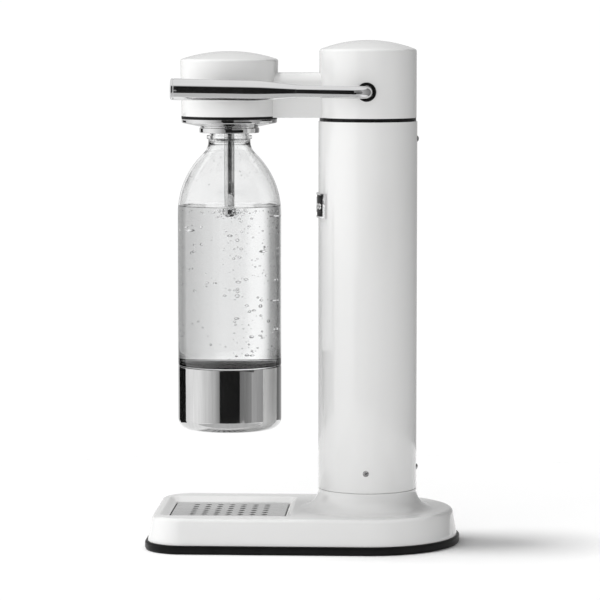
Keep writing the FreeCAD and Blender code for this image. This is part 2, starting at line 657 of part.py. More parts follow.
# Nozzle core: holds the carbonation tube and takes the gas from the side.
b = body("nozzle_core", "nozzle")
revolve(b, [
    ("dip_r+0.03", "bell_neck+1.5"), ("core_flange", "bell_neck+1.5"), ("core_flange", "bell_neck+4.5"), ("core_r", "bell_neck+4.5"),
    ("core_r", "core_top"), (2, "core_top"), (2, "dip_top"), ("dip_r+0.03", "dip_top"),
])
sk = sketch(b, "XY", "bell_neck+4.5")
circle(sk, "noz_scr", 0, "small_tap")
p = pocket(b, sk, 4)
pp = b.newObject("PartDesign::PolarPattern", "core_holes")
pp.Originals = [p]
pp.Axis = (sk, ["N_Axis"])
pp.Angle = 360
pp.Occurrences = 3
b.Tip = pp
doc.recompute()
sk = sketch(b, "XZ", -20)
circle(sk, 0, "gas_high", "gas_r+0.03")
pocket(b, sk, 12, back=True)
sk = sketch(b, "XZ", -10)
circle(sk, 0, "gas_high", 1.2)
pocket(b, sk, 10, back=True)

three = [("noz_scr", 0)] + [(D["noz_scr"] * math.cos(math.radians(a)), D["noz_scr"] * math.sin(math.radians(a))) for a in (120, 240)]
b = body("nozzle_screws", "nozzle")
screw_group(b, {"axis": "nozzle", "at": three, "drive": "above"},
            num("bell_neck+4.5"), num("bell_neck+6.1"), 2.2, num("small_r"), num("bell_neck") - 3.8, num("bell_neck+4.6"))

# Rubber washer that the bottle's mouth presses on.
b = body("bottle_seal", "nozzle")
revolve(b, [("dip_r+0.1", "bell_neck-0.5"), (17.6, "bell_neck-0.5"), (17.6, "bell_neck+1.5"), ("dip_r+0.1", "bell_neck+1.5")])

# Steel carbonation tube and its black jet.
b = body("carbonation_tube", "nozzle")
revolve(b, [("dip_in", "dip_low"), ("dip_r", "dip_low"), ("dip_r", "dip_top"), ("dip_in", "dip_top")])
b = body("nozzle_tip", "nozzle")
revolve(b, [
    (0.5, "tip_low"), (2.6, "tip_low"), ("dip_r+0.1", "tip_low+1.6"), ("dip_r+0.1", "dip_low"), ("dip_in-0.02", "dip_low"),
    ("dip_in-0.02", "dip_low+4"), (0.5, "dip_low+4"),
])

# Relief valve on top of the core: body, poppet and spring.
b = body("relief_body", "nozzle")
revolve(b, [
    (2, "core_top"), ("relief_r", "core_top"), ("relief_r", "relief_top"), (1.25, "relief_top"), (1.25, "relief_top-2"),
    (4.2, "relief_top-2"), (4.2, "core_top+1.5"), (2, "core_top+1.5"),
])
b = body("relief_poppet", "nozzle")
revolve(b, [(0, "core_top+1.6"), (3.8, "core_top+1.6"), (3.8, "core_top+3.4"), (1.2, "core_top+3.4"), (1.2, "relief_top+1.5"), (0, "relief_top+1.5")])


def coil(label, axis, radius, wire, low, high, turns):
    """Compression spring: a round wire swept along a helix."""
    path = Part.makeHelix((high - low - 2 * wire) / turns, high - low - 2 * wire, radius)
    start = path.Edges[0].valueAt(path.Edges[0].FirstParameter)
    tangent = path.Edges[0].tangentAt(path.Edges[0].FirstParameter)
    ring = Part.Wire([Part.makeCircle(wire, start, tangent)])
    solid = Part.Wire(path.Edges).makePipeShell([ring], True, True)
    o = doc.addObject("Part::Feature", label)
    o.Label = label
    o.Shape = solid
    y = num("col_y") if axis == "column" else num("col_y-noz_y")
    o.Placement = Placement(Vector(0, y, low + wire), Rotation())
    PIECES.append(o)


coil("relief_spring", "nozzle", 2.6, 0.4, num("core_top") + 3.6, num("relief_top") - 2.1, 6)

# ------------------------------------------------------------ internal carrier
# Steel carrier plate in the head, with the ear that holds the lever's far end.
b = body("inner_frame")
sk = sketch(b, "XY", "head_z")
circle(sk, 0, 0, "head_r-head_wall-0.2")
circle(sk, 0, 0, "block_neck+0.1")
pad(b, sk, 2.5)
sk = sketch(b, "XY", "head_z")
profile(sk, [(4.5, -45), (4.5, -19), (-4.5, -19), (-4.5, -45)])
pocket(b, sk, 10, back=True, mid=True)
sk = sketch(b, "YZ", -22)
profile(sk, [(-10, "head_z+2"), (10, "head_z+2"), (10, "lever_z", ("arc", 10.0001, "L")), (-10, "lever_z")])
pad(b, sk, 3)
sk = sketch(b, "YZ", -22)
circle(sk, 0, "lever_z", 6.52)
pocket(b, sk, 10, mid=True)
sk = sketch(b, "XY", "head_z+2.5")
for a in (90, 210, 330):
    circle(sk, round(D["frame_scr"] * math.cos(math.radians(a)), 4), round(D["frame_scr"] * math.sin(math.radians(a)), 4), "tap_r")
pocket(b, sk, 5)

# Brass valve block that the cylinder screws into.
b = body("valve_block")
revolve(b, [
    ("thread_bore", "block_low"), ("block_r", "block_low"), ("block_r", "head_z"), ("block_neck", "head_z"), ("block_neck", "block_top"),
    ("spring_bore", "block_top"), ("spring_bore", "spring_seat"), ("push_bore", "spring_seat"), ("push_bore", "thread_top"), ("thread_bore", "thread_top"),
])
sk = sketch(b, "XZ", 25)
circle(sk, 0, "gas_low", "gas_r+0.03")
pocket(b, sk, 13)
sk = sketch(b, "XZ", 20)
circle(sk, 0, "gas_low", 1.0)
pocket(b, sk, 19)
sk = sketch(b, "XY", "head_z")
for a in (90, 210, 330):
    circle(sk, round(D["frame_scr"] * math.cos(math.radians(a)), 4), round(D["frame_scr"] * math.sin(math.radians(a)), 4), "tap_r")
pocket(b, sk, 7)

b = body("frame_screws")
screw_group(b, {"axis": "column", "at": [(D["frame_scr"] * math.cos(math.radians(a)), D["frame_scr"] * math.sin(math.radians(a))) for a in (90, 210, 330)], "drive": "above"},
            num("head_z+2.5"), num("head_z+4.3"), 2.75, num("screw_r"), num("head_z") - 6.5, num("head_z+2.6"))

b = body("cylinder_seal")
revolve(b, [(3.4, "valve_top+0.1"), (9.8, "valve_top+0.1"), (9.8, "thread_top"), (3.4, "thread_top")])

b = body("plunger")
revolve(b, [(0, "push_low"), ("push_r", "push_low"), ("push_r", "push_head_low"), ("push_head_r", "push_head_low"), ("push_head_r", "push_top"), (0, "push_top")])
coil("plunger_spring", "column", 4.6, 0.6, num("spring_seat") + 0.05, num("push_head_low") - 0.05, 5)

# Gas pipe from the valve block, up and along the arm to the nozzle core.
b = body("gas_tube")
sk = sketch(b, "YZ")


def route(sk, verts, bend):
    """Open path of straight runs joined by equal tangent arcs."""
    pts = [Vector(num(x), num(y), 0) for x, y in verts]
    r = num(bend)
    segs = []
    cur = pts[0]
    for i in range(1, len(pts) - 1):
        u = (pts[i] - pts[i - 1]).normalize()
        w = (pts[i + 1] - pts[i]).normalize()
        a = pts[i] - u * r
        c = a + w * r
        z = pts[i] + w * r
        segs.append(("line", cur, a))
        segs.append(("arc", a, z, c))
        cur = z
    segs.append(("line", cur, pts[-1]))
    ids = []
    for sgm in segs:
        if sgm[0] == "line":
            g = sk.addGeometry(Part.LineSegment(sgm[1], sgm[2]), False)
            ids.append((g, 1, 2))
        else:
            _, a, z, c = sgm
            t0 = math.atan2(a.y - c.y, a.x - c.x)
            t1 = math.atan2(z.y - c.y, z.x - c.x)
            ccw = ((a.x - c.x) * (z.y - c.y) - (a.y - c.y) * (z.x - c.x)) > 0
            circ = Part.Circle(c, Vector(0, 0, 1), r)
            if ccw:
                t1 += 2 * math.pi if t1 <= t0 else 0
                g = sk.addGeometry(Part.ArcOfCircle(circ, t0, t1), False)
                ids.append((g, 1, 2))
            else:
                t0 += 2 * math.pi if t0 <= t1 else 0
                g = sk.addGeometry(Part.ArcOfCircle(circ, t1, t0), False)
                ids.append((g, 2, 1))
            k = sk.addConstraint(Sketcher.Constraint("Radius", g, r))
            if isinstance(bend, str):
                sk.setExpression("Constraints[%d]" % k, cell(bend))
    for k in range(len(ids) - 1):
        sk.addConstraint(Sketcher.Constraint("Tangent", ids[k][0], ids[k][2], ids[k + 1][0], ids[k + 1][1]))
    for k, sgm in enumerate(segs):
        if sgm[0] == "line":
            kind = "Horizontal" if abs(sgm[1].y - sgm[2].y) < 1e-6 else "Vertical"
            sk.addConstraint(Sketcher.Constraint(kind, ids[k][0]))
    fix(sk, ids[0][0], 1, *verts[0])
    return ids


ids = route(sk, [(-12.2, "gas_low"), ("0-gas_x", "gas_low"), ("0-gas_x", "gas_high"), ("8.4-noz_y+5.5", "gas_high")], "gas_bend")
last = ids[-1]
fix(sk, last[0], last[2], "8.4-noz_y+5.5", "gas_high")
k = sk.addConstraint(Sketcher.Constraint("DistanceX", ids[2][0], 1, -1, 1, num("gas_x")))
sk.setExpression("Constraints[%d]" % k, cell("gas_x"))
sp = sk
sk = sketch(b, "XZ", 12.2)
circle(sk, 0, "gas_low", "gas_r")
circle(sk, 0, "gas_low", 1.5)
f = b.newObject("PartDesign::AdditivePipe", "gas_pipe")
f.Profile = sk
f.Spine = (sp, ["Edge%d" % (i + 1) for i in range(5)])
f.Mode = "Standard"
doc.recompute()

# ----------------------------------------------------------------- gas bottle
b = body("gas_cylinder")
revolve(b, [
    (0, "cyl_low+2.5"), (22, "cyl_low+2.5"), (24.5, "cyl_low"), ("cyl_r-4", "cyl_low", ("arc", 4, "L")), ("cyl_r", "cyl_low+4"),
    ("cyl_r", "cyl_shoulder", ("arc", 31.5, "L")), ("cyl_neck_r", "cyl_neck"), ("cyl_neck_r", "cyl_top"), (9, "cyl_top"), (9, "cyl_neck-3"),
    ("cyl_r-cyl_wall", "cyl_shoulder-2"), ("cyl_r-cyl_wall", "cyl_low+8"), (0, "cyl_low+8"),
])
b = body("cylinder_valve")
revolve(b, [
    ("pin_bore", 300), (8.95, 300), (8.95, "cyl_top"), (13, "cyl_top"), (13, 324.6), (10.4, 325.6), (10.4, "valve_top"),
    (3.4, "valve_top"), (3.4, "valve_top-3"), ("pin_bore", "valve_top-3"),
])
b = body("valve_pin")
revolve(b, [(0, "pin_low"), ("pin_r", "pin_low"), ("pin_r", "pin_top"), (0, "pin_top")])

# ----------------------------------------------------------------------- lever
# The lever rises slightly towards the front, so its pieces are turned about
# the pivot.  Their placement carries the pivot's height.


def lever_body(label):
    b = doc.addObject("PartDesign::Body", label)
    b.Label = label
    b.Placement = Placement(Vector(0, num("col_y"), num("lever_z")), Rotation(Vector(1, 0, 0), -num("lever_rise")))
    b.setExpression("Placement.Base.y", cell("col_y"))
    b.setExpression("Placement.Base.z", cell("lever_z"))
    PIECES.append(b)
    return b


b = lever_body("lever_arm")
sp = sketch(b, "XY")
g1 = sp.addGeometry(Part.LineSegment(Vector(-24, 0, 0), Vector(num("lever_x-bend_r"), 0, 0)), False)
g2 = sp.addGeometry(Part.ArcOfCircle(Part.Circle(Vector(num("lever_x-bend_r"), -num("bend_r"), 0), Vector(0, 0, 1), num("bend_r")), 0, math.pi / 2), False)
g3 = sp.addGeometry(Part.LineSegment(Vector(num("lever_x"), -num("bend_r"), 0), Vector(num("lever_x"), -96, 0)), False)
k = sp.addConstraint(Sketcher.Constraint("Radius", g2, num("bend_r")))
sp.setExpression("Constraints[%d]" % k, cell("bend_r"))
sp.addConstraint(Sketcher.Constraint("Tangent", g1, 2, g2, 2))
sp.addConstraint(Sketcher.Constraint("Tangent", g2, 1, g3, 1))
sp.addConstraint(Sketcher.Constraint("Horizontal", g1))
fix(sp, g1, 1, -24, 0)
fix(sp, g3, 2, "lever_x", -96)
sk = sketch(b, "YZ", -24)
circle(sk, 0, 0, "rod_r")
f = b.newObject("PartDesign::AdditivePipe", "lever_pipe")
f.Profile = sk
f.Spine = (sp, ["Edge1", "Edge2", "Edge3"])
doc.recompute()

b = lever_body("lever_grip")
# turned along the rod: the sketch axis lies on the rod's centre line
sk = sketch(b, "XY")
profile(sk, [
    ("lever_x+rod_r+0.03", "0-taper_rear"), ("lever_x+rod_r+0.35", "0-taper_rear"), ("lever_x+rod_r+0.85", "0-taper_rear-7"),
    ("lever_x+rod_r+1.7", "0-taper_rear-15.5"), ("lever_x+grip_rear_r-0.6", "0-taper_front+6"), ("lever_x+grip_rear_r", "0-taper_front"),
    ("lever_x+grip_r", "0-grip_front"), ("lever_x+5.6", "0-grip_front"), ("lever_x+5.6", -96.5), ("lever_x+rod_r+0.03", -96.5),
])
gl = sk.addGeometry(Part.LineSegment(Vector(num("lever_x"), -10, 0), Vector(num("lever_x"), -100, 0)), True)
fix(sk, gl, 1, "lever_x", -10)
fix(sk, gl, 2, "lever_x", -100)
f = b.newObject("PartDesign::Revolution", "grip_turn")
f.Profile = sk
f.ReferenceAxis = (sk, ["Axis0"])
f.Angle = 360
doc.recompute()

b = lever_body("lever_end_cap")
sk = sketch(b, "XY")
profile(sk, [
    ("lever_x", "0-grip_front+6"), ("lever_x+5.55", "0-grip_front+6"), ("lever_x+5.55", "0-grip_front-0.05"),
    ("lever_x+grip_r-0.35", "0-grip_front-0.05"), ("lever_x+grip_r-0.35", "0-grip_front-0.35"), ("lever_x+grip_r-0.05", "0-grip_front-0.45"),
    ("lever_x+grip_r-0.05", "0.8-grip_end"), ("lever_x+grip_r-0.8", "0-grip_end"), ("lever_x", "0-grip_end"),
])
gl = sk.addGeometry(Part.LineSegment(Vector(num("lever_x"), -10, 0), Vector(num("lever_x"), -100, 0)), True)
fix(sk, gl, 1, "lever_x", -10)
fix(sk, gl, 2, "lever_x", -100)
f = b.newObject("PartDesign::Revolution", "cap_turn")
f.Profile = sk
f.ReferenceAxis = (sk, ["Axis0"])
f.Angle = 360
doc.recompute()


def across(label, outer, inner, x0, x1):
    """Bush on the lever's shaft, which lies along X."""
    b = doc.addObject("PartDesign::Body", label)
    b.Label = label
    b.Placement = Placement(Vector(0, num("col_y"), num("lever_z")), Rotation())
    b.setExpression("Placement.Base.y", cell("col_y"))
    b.setExpression("Placement.Base.z", cell("lever_z"))
    PIECES.append(b)
    sk = sketch(b, "YZ", x0)
    circle(sk, 0, 0, outer)
    circle(sk, 0, 0, inner)
    pad(b, sk, x1 - x0)
    return b


across("lever_bush_right", "bush_r", "bush_in", 29.0, 40.5)
across("lever_bush_left", 6.5, "bush_in", -23.0, -18.0)

# Cam on the shaft.  Its working flank is an involute, so a flat plunger moves
# at a constant rate as the lever turns.
h0, gain = num("cam_base"), num("cam_gain")
pts = []
for k in range(0, 45):
    psi = math.radians(-6 + k)
    h = h0 + gain * psi
    ny, nz = -math.sin(psi), -math.cos(psi)
    ty, tz = -math.cos(psi), math.sin(psi)
    pts.append(Vector(0, h * ny + gain * ty, h * nz + gain * tz))
flank = Part.BSplineCurve()
flank.interpolate(pts)
edge = flank.toShape()
a, z = pts[0], pts[-1]
hub = num("cam_base") - 0.15
back = Vector(0, -1.0, hub - 0.3)
wire = Part.Wire([edge, Part.makeLine(z, back), Part.makeLine(back, Vector(0, hub - 1.0, 0)), Part.makeLine(Vector(0, hub - 1.0, 0), a)])
half = num("cam_half")
lobe = Part.Face(wire).extrude(Vector(2 * half, 0, 0))
lobe.translate(Vector(-half, 0, 0))
cam = lobe.fuse(Part.makeCylinder(hub, 2 * half, Vector(-half, 0, 0), Vector(1, 0, 0)))
cam = cam.cut(Part.makeCylinder(num("rod_r") + 0.02, 4 * half, Vector(-2 * half, 0, 0), Vector(1, 0, 0)))
o = doc.addObject("Part::Feature", "lever_cam")
o.Label = "lever_cam"
o.Shape = cam.removeSplitter().Solids[0]
o.Placement = Placement(Vector(0, num("col_y"), num("lever_z")), Rotation())
PIECES.append(o)

# ----------------------------------------------------------------------- badge
# Curved frame, dark inlay and a plain droplet-and-bubbles emblem on the front
# of the column.
FRONT = Rotation(Vector(0, 0, 1), -90)
b = body("badge_frame", rot=FRONT)
revolve(b, [
    ("tube_r+0.02", "badge_low"), ("tube_r+badge_proud-0.3", "badge_low"), ("tube_r+badge_proud", "badge_low+0.3"),
    ("tube_r+badge_proud", "badge_high-0.3"), ("tube_r+badge_proud-0.3", "badge_high"), ("tube_r+0.02", "badge_high"),
], "badge_angle", mid=True)
before = b.Shape.Volume
sk = sketch(b, "XZ")
profile(sk, [("tube_r+0.5", "badge_low+badge_rim"), ("tube_r+3", "badge_low+badge_rim"), ("tube_r+3", "badge_high-badge_rim"), ("tube_r+0.5", "badge_high-badge_rim")])
f = b.newObject("PartDesign::Groove", "badge_window")
f.Profile = sk
f.ReferenceAxis = (sk, ["V_Axis"])
f.Angle = num("badge_angle-badge_rim*6")
f.setExpression("Angle", cell("badge_angle-badge_rim*6"))
f.Midplane = True
check_cut(b, before, "badge_window")
b = body("badge_inlay", rot=FRONT)
revolve(b, [
    ("tube_r+0.52", "badge_low+badge_rim+0.05"), ("tube_r+1.1", "badge_low+badge_rim+0.05"),
    ("tube_r+1.1", "badge_high-badge_rim-0.05"), ("tube_r+0.52", "badge_high-badge_rim-0.05"),
], "badge_angle-badge_rim*6-0.4", mid=True)
mid_z = (num("badge_low") + num("badge_high")) / 2
shell = Part.makeCylinder(num("tube_r") + 1.6, 30, Vector(0, 0, mid_z - 15)).cut(Part.makeCylinder(num("tube_r") + 1.11, 30, Vector(0, 0, mid_z - 15)))
marks = []
tip = Vector(0, 0, mid_z + 6.6)
drop_r, drop_z = 3.6, mid_z - 2.4
ta = math.acos(drop_r / (tip.z - drop_z))
lx, lz = drop_r * math.sin(ta), drop_z + drop_r * math.cos(ta)
arc = Part.Arc(Vector(lx, 0, lz), Vector(0, 0, drop_z - drop_r), Vector(-lx, 0, lz)).toShape()
w = Part.Wire([arc, Part.makeLine(Vector(-lx, 0, lz), tip), Part.makeLine(tip, Vector(lx, 0, lz))])
marks.append(Part.Face(w).extrude(Vector(0, -60, 0)))
for x, r in ((9.0, 2.8), (15.8, 2.6), (-9.0, 2.8), (-15.8, 2.6)):
    at = Vector(x, 0, mid_z - 0.6)
    marks.append(Part.makeCylinder(r, 60, at, Vector(0, -1, 0)).cut(Part.makeCylinder(r * 0.42, 60, at, Vector(0, -1, 0))))
solids = [m.common(shell).Solids[0] for m in marks]
o = doc.addObject("Part::Feature", "badge_emblem")
o.Label = "badge_emblem"
o.Shape = Part.makeCompound(solids)
o.Placement = Placement(Vector(0, num("col_y"), 0), Rotation())
PIECES.append(o)

# ---------------------------------------------------------------------- bottle
b = body("bottle_vessel", "nozzle")
revolve(b, [
    ("neck_in", "bot_top"), ("neck_in", "throat_z+1.3"), ("inner_turn_r", "inner_turn_z", ("arc", "shoulder_arc-bot_wall", "R")),
    ("bot_r-bot_wall", "shoulder_z"), ("bot_r-bot_wall", "cup_rim+4"), ("seat_r-bot_wall", "cup_rim-2"), ("seat_r-bot_wall", "cup_low+13"),
    ("seat_r-bot_wall-7", "cup_low+6"), (0, "cup_low+6"), (0, "cup_low+4"), ("seat_r-8.5", "cup_low+4"), ("seat_r", "cup_low+12.5"),
    ("seat_r", "cup_rim+0.5"), ("bot_r", "cup_rim+0.5"), ("bot_r", "shoulder_z", ("arc", "shoulder_arc", "L")),
    ("turn_r", "turn_z", ("arc", "throat_arc", "R")), ("throat_r", "throat_z"), ("throat_r", "lip_low"), ("lip_r", "lip_low"),
    ("lip_r", "lip_high"), ("neck_r", "lip_high"), ("neck_r", "bot_top"),
])
b = body("bottle_cup", "nozzle")
revolve(b, [
    (0, "cup_low"), ("cup_r-cup_round", "cup_low", ("arc", "cup_round", "L")), ("cup_r", "cup_low+cup_round"), ("cup_r", "cup_rim"),
    ("cup_r-cup_wall", "cup_rim"), ("cup_r-cup_wall", "cup_low+cup_round", ("arc", "cup_round-cup_wall", "R")),
    ("cup_r-cup_round", "cup_low+cup_wall"), (0, "cup_low+cup_wall"),
])
b = body("cup_liner", "nozzle")
revolve(b, [
    (0, "cup_low+cup_wall+0.05"), ("cup_r-cup_round", "cup_low+cup_wall+0.05", ("arc", "cup_round-cup_wall-0.05", "L")),
    ("cup_r-cup_wall-0.05", "cup_low+cup_round"), ("cup_r-cup_wall-0.05", "cup_rim"), ("liner_in", "cup_rim"), ("liner_in", "cup_low+12.4"),
    ("liner_in-8.6", "cup_low+3.9"), (0, "cup_low+3.9"),
])

# ---------------------------------------------------------------- finish, write
doc.recompute()
bad = []
for o in doc.Objects:
    st = [s for s in o.State if s in ("Invalid", "Error")]
    if st:
        bad.append("%s (%s) %s" % (o.Name, o.TypeId, st))
for p in PIECES:
    if p.Shape.isNull() or not p.Shape.isValid() or not p.Shape.Solids:
        bad.append("%s: shape not usable" % p.Label)
if bad:
    raise RuntimeError("; ".join(bad))
os.makedirs("parts", exist_ok=True)
for p in PIECES:
    sh = p.Shape
    if sh.ShapeType == "Compound" and len(sh.Solids) == 1:
        sh = sh.Solids[0]
    sh.exportStep(os.path.join("parts", p.Label + ".step"))
    bb = p.Shape.optimalBoundingBox(False, False)
    print("%-18s solids %d vol %9.1f  x %7.2f %7.2f  y %7.2f %7.2f  z %7.2f %7.2f" % (
        p.Label, len(p.Shape.Solids), p.Shape.Volume, bb.XMin, bb.XMax, bb.YMin, bb.YMax, bb.ZMin, bb.ZMax))
print(len(PIECES), "pieces")
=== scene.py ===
import bmesh
import bpy
import math
import random
from mathutils import Matrix, Vector
from mathutils.geometry import delaunay_2d_cdt


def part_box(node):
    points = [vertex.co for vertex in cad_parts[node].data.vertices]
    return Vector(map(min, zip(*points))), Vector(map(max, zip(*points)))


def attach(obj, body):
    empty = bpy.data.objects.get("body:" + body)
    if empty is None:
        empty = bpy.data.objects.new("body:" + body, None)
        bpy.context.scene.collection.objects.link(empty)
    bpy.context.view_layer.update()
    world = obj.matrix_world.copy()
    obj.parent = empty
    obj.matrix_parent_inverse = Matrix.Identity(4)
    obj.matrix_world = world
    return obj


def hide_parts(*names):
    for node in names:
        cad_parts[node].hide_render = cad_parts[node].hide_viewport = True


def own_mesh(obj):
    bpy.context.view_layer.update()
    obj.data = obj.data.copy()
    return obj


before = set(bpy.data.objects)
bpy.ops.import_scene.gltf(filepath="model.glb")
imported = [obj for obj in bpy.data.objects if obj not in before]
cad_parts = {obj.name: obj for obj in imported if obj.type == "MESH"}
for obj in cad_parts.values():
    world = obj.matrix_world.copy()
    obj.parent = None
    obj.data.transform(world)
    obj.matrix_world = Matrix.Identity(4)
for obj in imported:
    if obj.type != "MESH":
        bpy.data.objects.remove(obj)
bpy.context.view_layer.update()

MM = 0.001


def centre(node):
    lo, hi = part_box(node)
    return ((lo.x + hi.x) / 2, (lo.y + hi.y) / 2)


COL = centre("column_tube")      # column axis
NOZ = centre("bottle_cup")       # bottle and nozzle axis
LEVER_Z = (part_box("lever_bush_right")[0].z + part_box("lever_bush_right")[1].z) / 2
RISE = math.radians(0.93)

# --------------------------------------------------------------- materials


def nodes_of(name):
    m = bpy.data.materials.new(name)
    m.use_nodes = True
    nt = m.node_tree
    return m, nt, nt.nodes["Principled BSDF"]


def coords(nt, scale=(1, 1, 1), kind="Object"):
    tc = nt.nodes.new("ShaderNodeTexCoord")
    mp = nt.nodes.new("ShaderNodeMapping")
    mp.inputs["Scale"].default_value = scale
    nt.links.new(tc.outputs[kind], mp.inputs["Vector"])
    return mp.outputs["Vector"]


def noise(nt, vec, scale, detail=3.0, rough=0.5):
    n = nt.nodes.new("ShaderNodeTexNoise")
    n.inputs["Scale"].default_value = scale
    n.inputs["Detail"].default_value = detail
    n.inputs["Roughness"].default_value = rough
    nt.links.new(vec, n.inputs["Vector"])
    return n.outputs["Fac"]


def ramp(nt, fac, stops):
    r = nt.nodes.new("ShaderNodeValToRGB")
    els = r.color_ramp.elements
    while len(els) < len(stops):
        els.new(0.5)
    for e, (p, c) in zip(els, stops):
        e.position = p
        e.color = (c, c, c, 1) if isinstance(c, (int, float)) else (c[0], c[1], c[2], 1)
    nt.links.new(fac, r.inputs["Fac"])
    return r.outputs["Color"]


def span(nt, fac, lo, hi):
    m = nt.nodes.new("ShaderNodeMapRange")
    m.inputs["From Min"].default_value = 0.3
    m.inputs["From Max"].default_value = 0.7
    m.inputs["To Min"].default_value = lo
    m.inputs["To Max"].default_value = hi
    nt.links.new(fac, m.inputs["Value"])
    return m.outputs["Result"]


def bump(nt, fac, strength, distance):
    b = nt.nodes.new("ShaderNodeBump")
    b.inputs["Strength"].default_value = strength
    b.inputs["Distance"].default_value = distance
    nt.links.new(fac, b.inputs["Height"])
    return b.outputs["Normal"]


def finish_mat(name, dark, light, rough, metallic=0.0, scale=8.0, stretch=(1, 1, 1), grain=None, coat=0.0, coat_rough=0.05,
               aniso=0.0, ior=1.5, detail=3.0, specular=0.5):
    """Procedural surface: colour and roughness vary with noise, grain is bump."""
    m, nt, p = nodes_of(name)
    v = coords(nt, stretch)
    n = noise(nt, v, scale, detail)
    nt.links.new(ramp(nt, n, [(0.3, dark), (0.7, light)]), p.inputs["Base Color"])
    nt.links.new(span(nt, noise(nt, v, scale * 3.1, detail), rough[0], rough[1]), p.inputs["Roughness"])
    p.inputs["Metallic"].default_value = metallic
    p.inputs["IOR"].default_value = ior
    p.inputs["Specular IOR Level"].default_value = specular
    p.inputs["Coat Weight"].default_value = coat
    p.inputs["Coat Roughness"].default_value = coat_rough
    p.inputs["Anisotropic"].default_value = aniso
    if grain:
        gs, strength, dist = grain
        nt.links.new(bump(nt, noise(nt, v, gs, 2.0), strength, dist), p.inputs["Normal"])
    return m


ENAMEL = finish_mat("enamel_white", (0.728, 0.728, 0.723), (0.745, 0.745, 0.742), (0.06, 0.09), scale=5, grain=(700, 0.02, 0.0001), coat=0.3, coat_rough=0.02)
CHROME = finish_mat("polished_chrome", (0.70, 0.70, 0.705), (0.74, 0.74, 0.74), (0.045, 0.075), 1.0, scale=30, grain=(1400, 0.02, 0.0001))
CUP_STEEL = finish_mat("cup_polished_steel", (0.60, 0.60, 0.60), (0.68, 0.68, 0.68), (0.045, 0.075), 1.0, scale=60, stretch=(6, 6, 0.3), grain=(40, 0.01, 0.0001), aniso=0.1)
GRILLE_STEEL = finish_mat("grille_brushed_steel", (0.59, 0.59, 0.59), (0.73, 0.73, 0.73), (0.26, 0.36), 1.0, scale=30, stretch=(40, 1, 40), grain=(60, 0.08, 0.0001), aniso=0.5)
RUBBER = finish_mat("foot_rubber", (0.004, 0.004, 0.004), (0.008, 0.008, 0.008), (0.30, 0.42), scale=60, grain=(900, 0.25, 0.0003), specular=0.12)
PLASTIC = finish_mat("black_plastic", (0.004, 0.004, 0.004), (0.009, 0.009, 0.009), (0.24, 0.36), scale=80, grain=(1500, 0.2, 0.0002), specular=0.18)
LINER = finish_mat("liner_black", (0.003, 0.003, 0.003), (0.006, 0.006, 0.006), (0.4, 0.55), scale=50, grain=(1200, 0.2, 0.0002), specular=0.04)
SEAL = finish_mat("seal_rubber", (0.005, 0.005, 0.005), (0.01, 0.01, 0.01), (0.4, 0.55), scale=70, grain=(1200, 0.2, 0.0002), specular=0.12)
TUBE_STEEL = finish_mat("drawn_steel", (0.60, 0.60, 0.60), (0.70, 0.70, 0.70), (0.08, 0.13), 1.0, scale=60, stretch=(8, 8, 0.4), grain=(60, 0.03, 0.0001))
SCREW = finish_mat("screw_steel", (0.34, 0.34, 0.34), (0.46, 0.46, 0.46), (0.16, 0.26), 1.0, scale=400, grain=(2500, 0.1, 0.0001))
ZINC = finish_mat("zinc_sheet", (0.42, 0.43, 0.44), (0.60, 0.61, 0.62), (0.28, 0.42), 1.0, scale=45, grain=(500, 0.05, 0.0002))
CAST = finish_mat("cast_aluminium", (0.55, 0.55, 0.56), (0.68, 0.68, 0.69), (0.38, 0.52), 1.0, scale=90, grain=(700, 0.2, 0.0003))
BRASS = finish_mat("machined_brass", (0.66, 0.47, 0.20), (0.80, 0.62, 0.30), (0.16, 0.28), 1.0, scale=60, stretch=(1, 1, 14), grain=(80, 0.05, 0.0001))
NATURAL = finish_mat("natural_plastic", (0.74, 0.74, 0.71), (0.82, 0.82, 0.80), (0.28, 0.38), scale=30, grain=(900, 0.08, 0.0002))
CYLINDER = finish_mat("cylinder_paint", (0.42, 0.44, 0.46), (0.50, 0.52, 0.54), (0.28, 0.4), scale=18, grain=(600, 0.1, 0.0003), coat=0.2)
INLAY = finish_mat("badge_inlay", (0.003, 0.003, 0.003), (0.007, 0.007, 0.007), (0.3, 0.4), scale=120, grain=(900, 0.05, 0.0001), specular=0.05)
SPRING = finish_mat("spring_wire", (0.45, 0.45, 0.45), (0.60, 0.60, 0.60), (0.2, 0.3), 1.0, scale=300, grain=(1500, 0.05, 0.0001))


def clear_mat(name, ior, rough, tint, wave):
    """Clear plastic or water: transmission with the faintest waviness."""
    m, nt, p = nodes_of(name)
    v = coords(nt)
    n = noise(nt, v, 14, 2.0)
    nt.links.new(ramp(nt, n, [(0.3, tint[0]), (0.7, tint[1])]), p.inputs["Base Color"])
    nt.links.new(span(nt, noise(nt, v, 40, 2.0), rough[0], rough[1]), p.inputs["Roughness"])
    p.inputs["Transmission Weight"].default_value = 1.0
    p.inputs["IOR"].default_value = ior
    if wave:
        nt.links.new(bump(nt, noise(nt, v, wave[0], 2.0), wave[1], wave[2]), p.inputs["Normal"])
    return m


PET = clear_mat("clear_pet", 1.50, (0.0, 0.012), ((0.985, 0.988, 0.988), (0.995, 0.997, 0.997)), (35, 0.06, 0.0008))
WATER = clear_mat("clear_water", 1.333, (0.0, 0.0), ((0.992, 0.995, 0.996), (0.998, 0.999, 1.0)), None)

# --------------------------------------------------------------- mesh helpers


